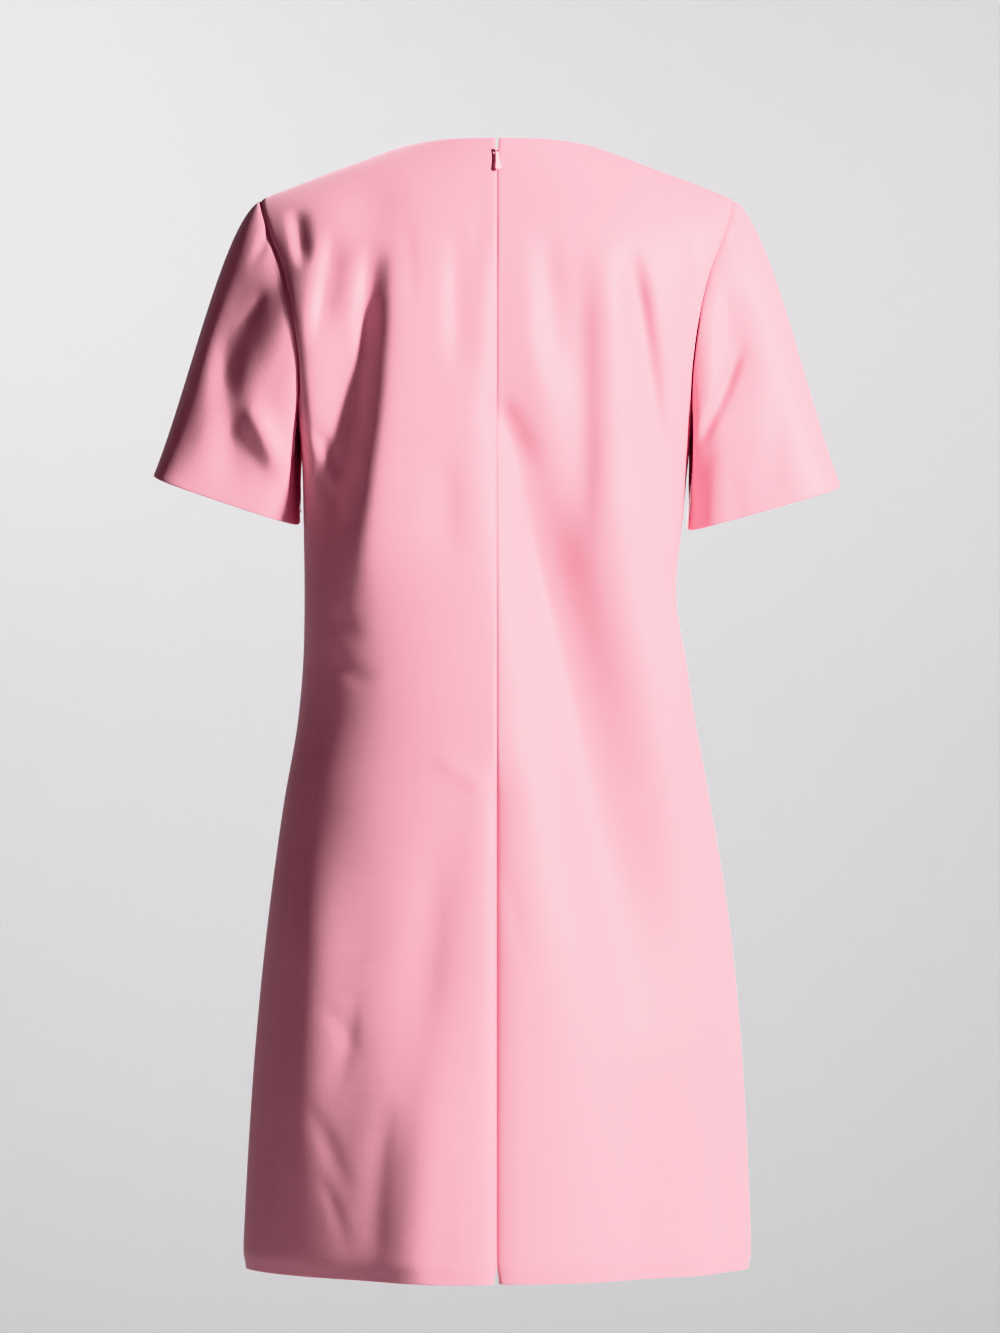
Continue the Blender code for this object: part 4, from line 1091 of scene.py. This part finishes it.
def sleeve_surface(name):
    """The sleeve's face: lines from the armhole to the cuff, cubic in their share t."""
    sleeve = SLEEVES[name]
    side = sleeve["side"]
    loop = armhole_loop(side)
    turn = np.linspace(0.0, 2 * math.pi, len(loop), endpoint=False)[:, None]
    outer = np.array([sleeve["outer"][0], 0.0, sleeve["outer"][1]])
    inner = np.array([sleeve["inner"][0], 0.0, sleeve["inner"][1]])
    behind = np.array([0.0, -CUFF_HALF_DEPTH, -CUFF_TILT])
    cuff = (outer + inner) / 2
    cuff = cuff + (outer - inner) / 2 * squared(np.cos(turn)) + behind * squared(np.sin(turn))
    apart = SLEEVE_GAP * (STAND_OFF + STAND_OFF_GROWTH * (1 - np.cos(turn)))
    start = loop + apart * np.array([side, 0.0, 0.0])
    run = cuff - start
    length = np.linalg.norm(run, axis=1, keepdims=True)
    cap = ((1 + np.cos(turn)) / 2) ** 2
    lift = np.array([0.0, 0.0, CAP_LIFT])
    swell = np.array([0.0, -CAP_SPREAD, 0.0])
    start_slope = run + length * (lift * cap + swell * np.sin(turn))
    t = np.linspace(0.0, 1.0, SLEEVE_ROWS + 1)[:, None, None]
    return (
        start * (2 * t**3 - 3 * t**2 + 1)
        + start_slope * (t**3 - 2 * t**2 + t)
        + cuff * (3 * t**2 - 2 * t**3)
        + run * (t**3 - t**2)
    )


class DRESS_OT_sleeves(bpy.types.Operator):
    """Make the two set-in sleeves."""

    bl_idname = "dress.sleeves"
    bl_label = "Sleeves"

    def execute(self, context):
        settings = context.scene.dress
        for name, sleeve in SLEEVES.items():
            points = sleeve_surface(name)
            normal = grid_normals(points, sleeve["side"], tube=True)
            toward_back = smooth_step(0.0, SLEEVE_FACING, -normal[..., 1])
            toward_front = smooth_step(0.0, SLEEVE_FACING, normal[..., 1])
            x, height = points[..., 0], points[..., 2]
            folds = SLEEVE_FOLDS[name]
            depth = fold_depth(folds["back"], x, height) * toward_back
            depth += fold_depth(folds["front"], -x, height) * toward_front
            share = np.linspace(0.0, 1.0, len(points))[:, None]
            depth *= smooth_step(0.0, SLEEVE_CALM, share)
            creases = SLEEVE_CREASES[name]
            small = fold_depth(creases["back"], x, height) * toward_back
            small += fold_depth(creases["front"], -x, height) * toward_front
            depth += small * settings.crease_strength
            points[..., 1] -= np.sign(normal[..., 1]) * depth
            dip = SEAM_DIP * np.exp(-((run_length(points, 0) / SEAM_ROLL) ** 2))
            points = points - normal * dip[..., None]
            points = points[::-1]
            normal = grid_normals(points, -sleeve["side"], tube=True)
            made = add_turned_cloth(f"sleeve_{name}_cloth", points, normal, CUFF_TURNING, tube=True)
            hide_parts("sleeve_" + name)
        return {"FINISHED"}


def zip_line():
    """The centre seam's points and outward normals, down the back below the notch."""
    left, outward = panel("back", -1)
    right, _ = panel("back", 1)
    middle = (left[:, 0] + right[:, 0]) / 2
    normal = grid_normals(left, outward)[:, 0] + grid_normals(right, -outward)[:, 0]
    normal[:, 0] = 0.0
    normal = normal / np.linalg.norm(normal, axis=-1, keepdims=True)
    shown = (middle[:, 2] < NOTCH_START) & (middle[:, 2] > ZIP_END)
    return middle[shown], normal[shown]


def add_tape(name, side):
    """A woven tape behind one back: an even strip beside the seam, closed round its edges."""
    points, outward = panel("back", side)
    normal = grid_normals(points, outward)
    shown = (points[:, 0, 2] < NOTCH_START - TAPE_CLEAR) & (points[:, 0, 2] > ZIP_END)
    across = run_length(points, 1)[shown]
    wanted = np.linspace(0.0, TAPE_WIDTH, TAPE_COLUMNS)

    def read_across(grid):
        """The rows of a grid of vectors, read at the wanted distances from the seam."""
        rows = [
            np.stack([np.interp(wanted, run, row[:, axis]) for axis in range(3)], axis=-1)
            for run, row in zip(across, grid[shown])
        ]
        return np.array(rows)

    strip = read_across(points)
    facing = read_across(normal)
    right = strip - facing * TAPE_DEPTH
    wrong = right - facing * TAPE_THICKNESS
    made = add_cloth(name + "_cloth", right, wrong, zip_tape())
    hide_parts(name)


def add_coil():
    """The zip's nylon coil: a wire of a few sides wound about the seam line, flat and wide.

    Each turn is an oval, COIL_RADIUS out on both sides and half as deep, COIL_PITCH on.
    """
    middle, normal = zip_line()
    along = np.concatenate([[0.0], np.cumsum(np.linalg.norm(np.diff(middle, axis=0), axis=1))])
    turns = along[-1] / COIL_PITCH
    steps = np.linspace(0.0, 1.0, int(turns * COIL_STEPS) + 1)
    at = steps * along[-1]
    centre = np.stack([np.interp(at, along, middle[:, k]) for k in range(3)], axis=-1)
    facing = np.stack([np.interp(at, along, normal[:, k]) for k in range(3)], axis=-1)
    sideways = np.array([1.0, 0.0, 0.0])
    angle = 2 * math.pi * turns * steps[:, None]
    round_wire = sideways * np.cos(angle) * COIL_RADIUS + facing * np.sin(angle) * COIL_RADIUS / 2
    path = centre - facing * (TAPE_DEPTH + COIL_RADIUS) + round_wire
    forward = np.gradient(path, axis=0)
    forward = forward / np.linalg.norm(forward, axis=-1, keepdims=True)
    out = np.cross(forward, facing)
    out = out / np.linalg.norm(out, axis=-1, keepdims=True)
    over = np.cross(out, forward)
    turn = np.arange(COIL_SIDES) * 2 * math.pi / COIL_SIDES
    ring = out[:, None] * np.cos(turn)[:, None] + over[:, None] * np.sin(turn)[:, None]
    points = path[:, None] + ring * COIL_WIRE
    number = np.arange(len(path) * COIL_SIDES).reshape(-1, COIL_SIDES)
    number = np.hstack([number, number[:, :1]])
    faces = np.vstack([quads(number[i], number[i + 1]) for i in range(len(path) - 1)])
    ends = np.stack([number[0, :COIL_SIDES][::-1], number[-1, :COIL_SIDES]])
    faces = np.vstack([faces, ends])
    made = add_mesh("zip_coil", points.reshape(-1, 3), faces, nylon(), "dress")


def tab_outline(inset, steps=14):
    """Half rings of the drop-shaped tab and back again, drawn in by inset from its edge."""
    radius = TAB_END_RADIUS - inset
    top = TAB_TOP_HALF_WIDTH - inset
    sweep = np.linspace(0.0, math.pi / 2, steps + 1)
    round_end = np.stack([np.sin(sweep), np.cos(sweep)], axis=-1) * radius
    round_end = round_end + [0.0, TAB_LENGTH - TAB_END_RADIUS]
    share = np.linspace(0.0, 1.0, steps)[1:, None]
    shoulder = np.array([top, TAB_TOP_HALF_WIDTH - TAB_BAR])
    # the sides are drawn in a little between the round end and the top
    waist = np.sin(math.pi * share) * [-TAB_WAIST, 0.0]
    side = round_end[-1] + (shoulder - round_end[-1]) * share + waist
    arch = np.stack([np.cos(sweep), -np.sin(sweep)], axis=-1)[1:]
    arch = arch * [top, shoulder[1] + TAB_BAR - inset] + [0.0, shoulder[1]]
    half = np.vstack([round_end, side, arch])
    return np.vstack([half, half[-2:0:-1] * [-1.0, 1.0]])


def tab_slot(count, outset):
    """A rounded slot of the same number of points, under the bar that turns in the loop."""
    turns = np.linspace(0.0, 2 * math.pi, count, endpoint=False)
    ring = np.stack([np.sin(turns), np.cos(turns)], axis=-1)
    ring = np.sign(ring) * np.abs(ring) ** TAB_SLOT_POWER
    ring = ring * [TAB_SLOT_HALF_WIDTH + outset, TAB_SLOT_LENGTH / 2 + outset]
    return ring + [0.0, TAB_BAR + TAB_SLOT_LENGTH / 2]


class DRESS_OT_pull_tab(bpy.types.Operator):
    """Make the drop-shaped pull tab, which hangs in the slider's loop."""

    bl_idname = "dress.pull_tab"
    bl_label = "Pull tab"

    def execute(self, context):
        half = TAB_THICKNESS / 2
        # a quarter round runs along both edges of both faces
        levels = []
        for turn in (90, 60, 30, 0):
            rounded = math.radians(turn)
            inset = TAB_EDGE * (1 - math.cos(rounded))
            levels.append((inset, half - TAB_EDGE + TAB_EDGE * math.sin(rounded)))
        levels.insert(0, (2 * TAB_EDGE, half))
        levels += [(inset, -level) for inset, level in levels[::-1]]
        outer = [(tab_outline(inset), level) for inset, level in levels]
        count = len(outer[0][0])
        inner = [(tab_slot(count, inset), level) for inset, level in levels[::-1]]
        rings = [np.column_stack([flat, np.full(count, level)]) for flat, level in outer + inner]
        rings = np.stack(rings, axis=1)
        number = np.arange(rings.shape[0] * rings.shape[1]).reshape(rings.shape[:2])
        number = np.vstack([number, number[:1]])
        number = np.hstack([number, number[:, :1]])
        faces = [quads(number[:, k], number[:, k + 1]) for k in range(number.shape[1] - 1)]
        pivot = Vector(frame["joints"][0]["pos_m"])
        axes = Matrix.Rotation(-TAB_LEAN, 4, "X") @ Matrix(
            ((1, 0, 0, 0), (0, 0, -1, 0), (0, -1, 0, 0), (0, 0, 0, 1))
        )
        swing = Matrix.Rotation(TAB_SWING, 4, "Z")
        turned = np.array((Matrix.Translation(pivot) @ axes @ swing).to_4x4())
        points = rings.reshape(-1, 3) @ turned[:3, :3].T + turned[:3, 3]
        made = add_mesh("pull_tab_drop", points, np.vstack(faces), painted_metal(), "pull_tab")
        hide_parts("zip_pull_tab")
        return {"FINISHED"}


class DRESS_OT_zip(bpy.types.Operator):
    """Make the zip's tapes, its coil, and the finish of its slider."""

    bl_idname = "dress.zip"
    bl_label = "Zip"

    def execute(self, context):
        add_tape("zip_tape_left", -1)
        add_tape("zip_tape_right", 1)
        add_coil()
        for slot in frame["nodes"]["zip_slider"].material_slots:
            slot.material = painted_metal()
        return {"FINISHED"}


class DRESS_OT_stage(bpy.types.Operator):
    """Make the floor with its curved backdrop, the lights and the camera."""

    bl_idname = "dress.stage"
    bl_label = "Stage"

    def execute(self, context):
        stage = context.scene.dress_stage
        scene = context.scene
        backdrop = new_material("backdrop", stage.backdrop_colour, 0.9)
        floor = stage.floor_height
        bend = BACKDROP_BEND
        turn = np.linspace(0.0, math.pi / 2, BACKDROP_STEPS)
        curve = BACKDROP_AT - bend + bend * np.sin(turn)
        y = np.concatenate([[-FLOOR_REACH], curve, [BACKDROP_AT]])
        z = np.concatenate([[floor], floor + bend - bend * np.cos(turn), [BACKDROP_TOP]])
        x = np.array([-FLOOR_REACH, 0.0, FLOOR_REACH])
        points = np.stack(np.broadcast_arrays(x[None], y[:, None], z[:, None]), axis=-1)
        number = np.arange(points.size // 3).reshape(points.shape[:2])
        faces = np.vstack([quads(number[i], number[i + 1]) for i in range(len(y) - 1)])
        mesh = bpy.data.meshes.new("backdrop")
        mesh.from_pydata(points.reshape(-1, 3).tolist(), [], faces.tolist())
        mesh.shade_smooth()
        mesh.materials.append(backdrop)
        made = bpy.data.objects.new("backdrop", mesh)
        scene.collection.objects.link(made)

        def area(name, place, target, size, power):
            light = bpy.data.lights.new(name, "AREA")
            light.shape = "DISK"
            light.size = size
            light.energy = power
            lamp = bpy.data.objects.new(name, light)
            lamp.location = place
            towards = Vector(target) - Vector(place)
            lamp.rotation_euler = towards.to_track_quat("-Z", "Y").to_euler()
            lamp.visible_camera = False
            scene.collection.objects.link(lamp)

        area("key", (2.22, -1.90, 0.68), (0, 0, -0.40), 0.30, stage.key_power)
        area("front key", (-0.3, 3.6, 0.1), (0, 0, -0.45), 0.8, 60.0)
        area("backdrop left", (-2.2, 2.6, 1.6), (0.4, 5.2, 0.0), 2.0, 38.0)
        area("backdrop right", (2.2, 2.6, 1.6), (0.0, 5.2, 0.0), 2.0, 20.0)
        world = bpy.data.worlds.new("studio")
        world.use_nodes = True
        background = world.node_tree.nodes["Background"]
        background.inputs["Color"].default_value = (0.80, 0.79, 0.80, 1.0)
        # the studio beyond the floor looks pale, and lights the dress only faintly
        seen = add_node(world.node_tree, "ShaderNodeLightPath").outputs["Is Camera Ray"]
        strength = add_node(
            world.node_tree,
            "ShaderNodeMapRange",
            {"To Min": stage.world_light, "To Max": stage.world_look},
        )
        world.node_tree.links.new(seen, strength.inputs["Value"])
        world.node_tree.links.new(strength.outputs["Result"], background.inputs["Strength"])
        scene.world = world
        scene.view_settings.view_transform = "Khronos PBR Neutral"
        scene.view_settings.look = "Very High Contrast"

        camera = bpy.data.objects.new("camera", bpy.data.cameras.new("camera"))
        camera.data.sensor_width = SENSOR_WIDTH
        # a metre at the middle plane is as many pixels as in the photograph
        camera.data.lens = CAMERA_DISTANCE / PHOTO_PIXEL / PHOTO_SIDE * SENSOR_WIDTH
        camera.data.shift_y = (CAMERA_ROW - PHOTO_SIDE / 2) / PHOTO_SIDE
        camera.location = CAMERA_PLACE
        camera.rotation_euler = (math.pi / 2, 0.0, 0.0)
        scene.collection.objects.link(camera)
        scene.camera = camera
        return {"FINISHED"}


class DRESS_PT_panel(bpy.types.Panel):
    """The dress and its stage."""

    bl_label = "Shift dress"
    bl_space_type = "VIEW_3D"
    bl_region_type = "UI"
    bl_category = "Dress"

    def draw(self, context):
        layout = self.layout
        for group in (context.scene.dress, context.scene.dress_stage):
            for name in group.bl_rna.properties.keys():
                if name not in ("rna_type", "name"):
                    layout.prop(group, name)
        for operator in OPERATORS:
            layout.operator(operator.bl_idname)


OPERATORS = (
    DRESS_OT_front,
    DRESS_OT_backs,
    DRESS_OT_sleeves,
    DRESS_OT_zip,
    DRESS_OT_pull_tab,
    DRESS_OT_stage,
)
CLASSES = (DressSettings, StageSettings, *OPERATORS, DRESS_PT_panel)


def register():
    """Add the settings, the operators and the panel."""
    for made in CLASSES:
        bpy.utils.register_class(made)
    bpy.types.Scene.dress = PointerProperty(type=DressSettings)
    bpy.types.Scene.dress_stage = PointerProperty(type=StageSettings)


def unregister():
    """Take them away again."""
    del bpy.types.Scene.dress_stage
    del bpy.types.Scene.dress
    for made in reversed(CLASSES):
        bpy.utils.unregister_class(made)


def main():
    """Make the dress and its stage."""
    register()
    for operator in OPERATORS:
        group, name = operator.bl_idname.split(".")
        getattr(getattr(bpy.ops, group), name)()


if __name__ == "__main__":
    main()
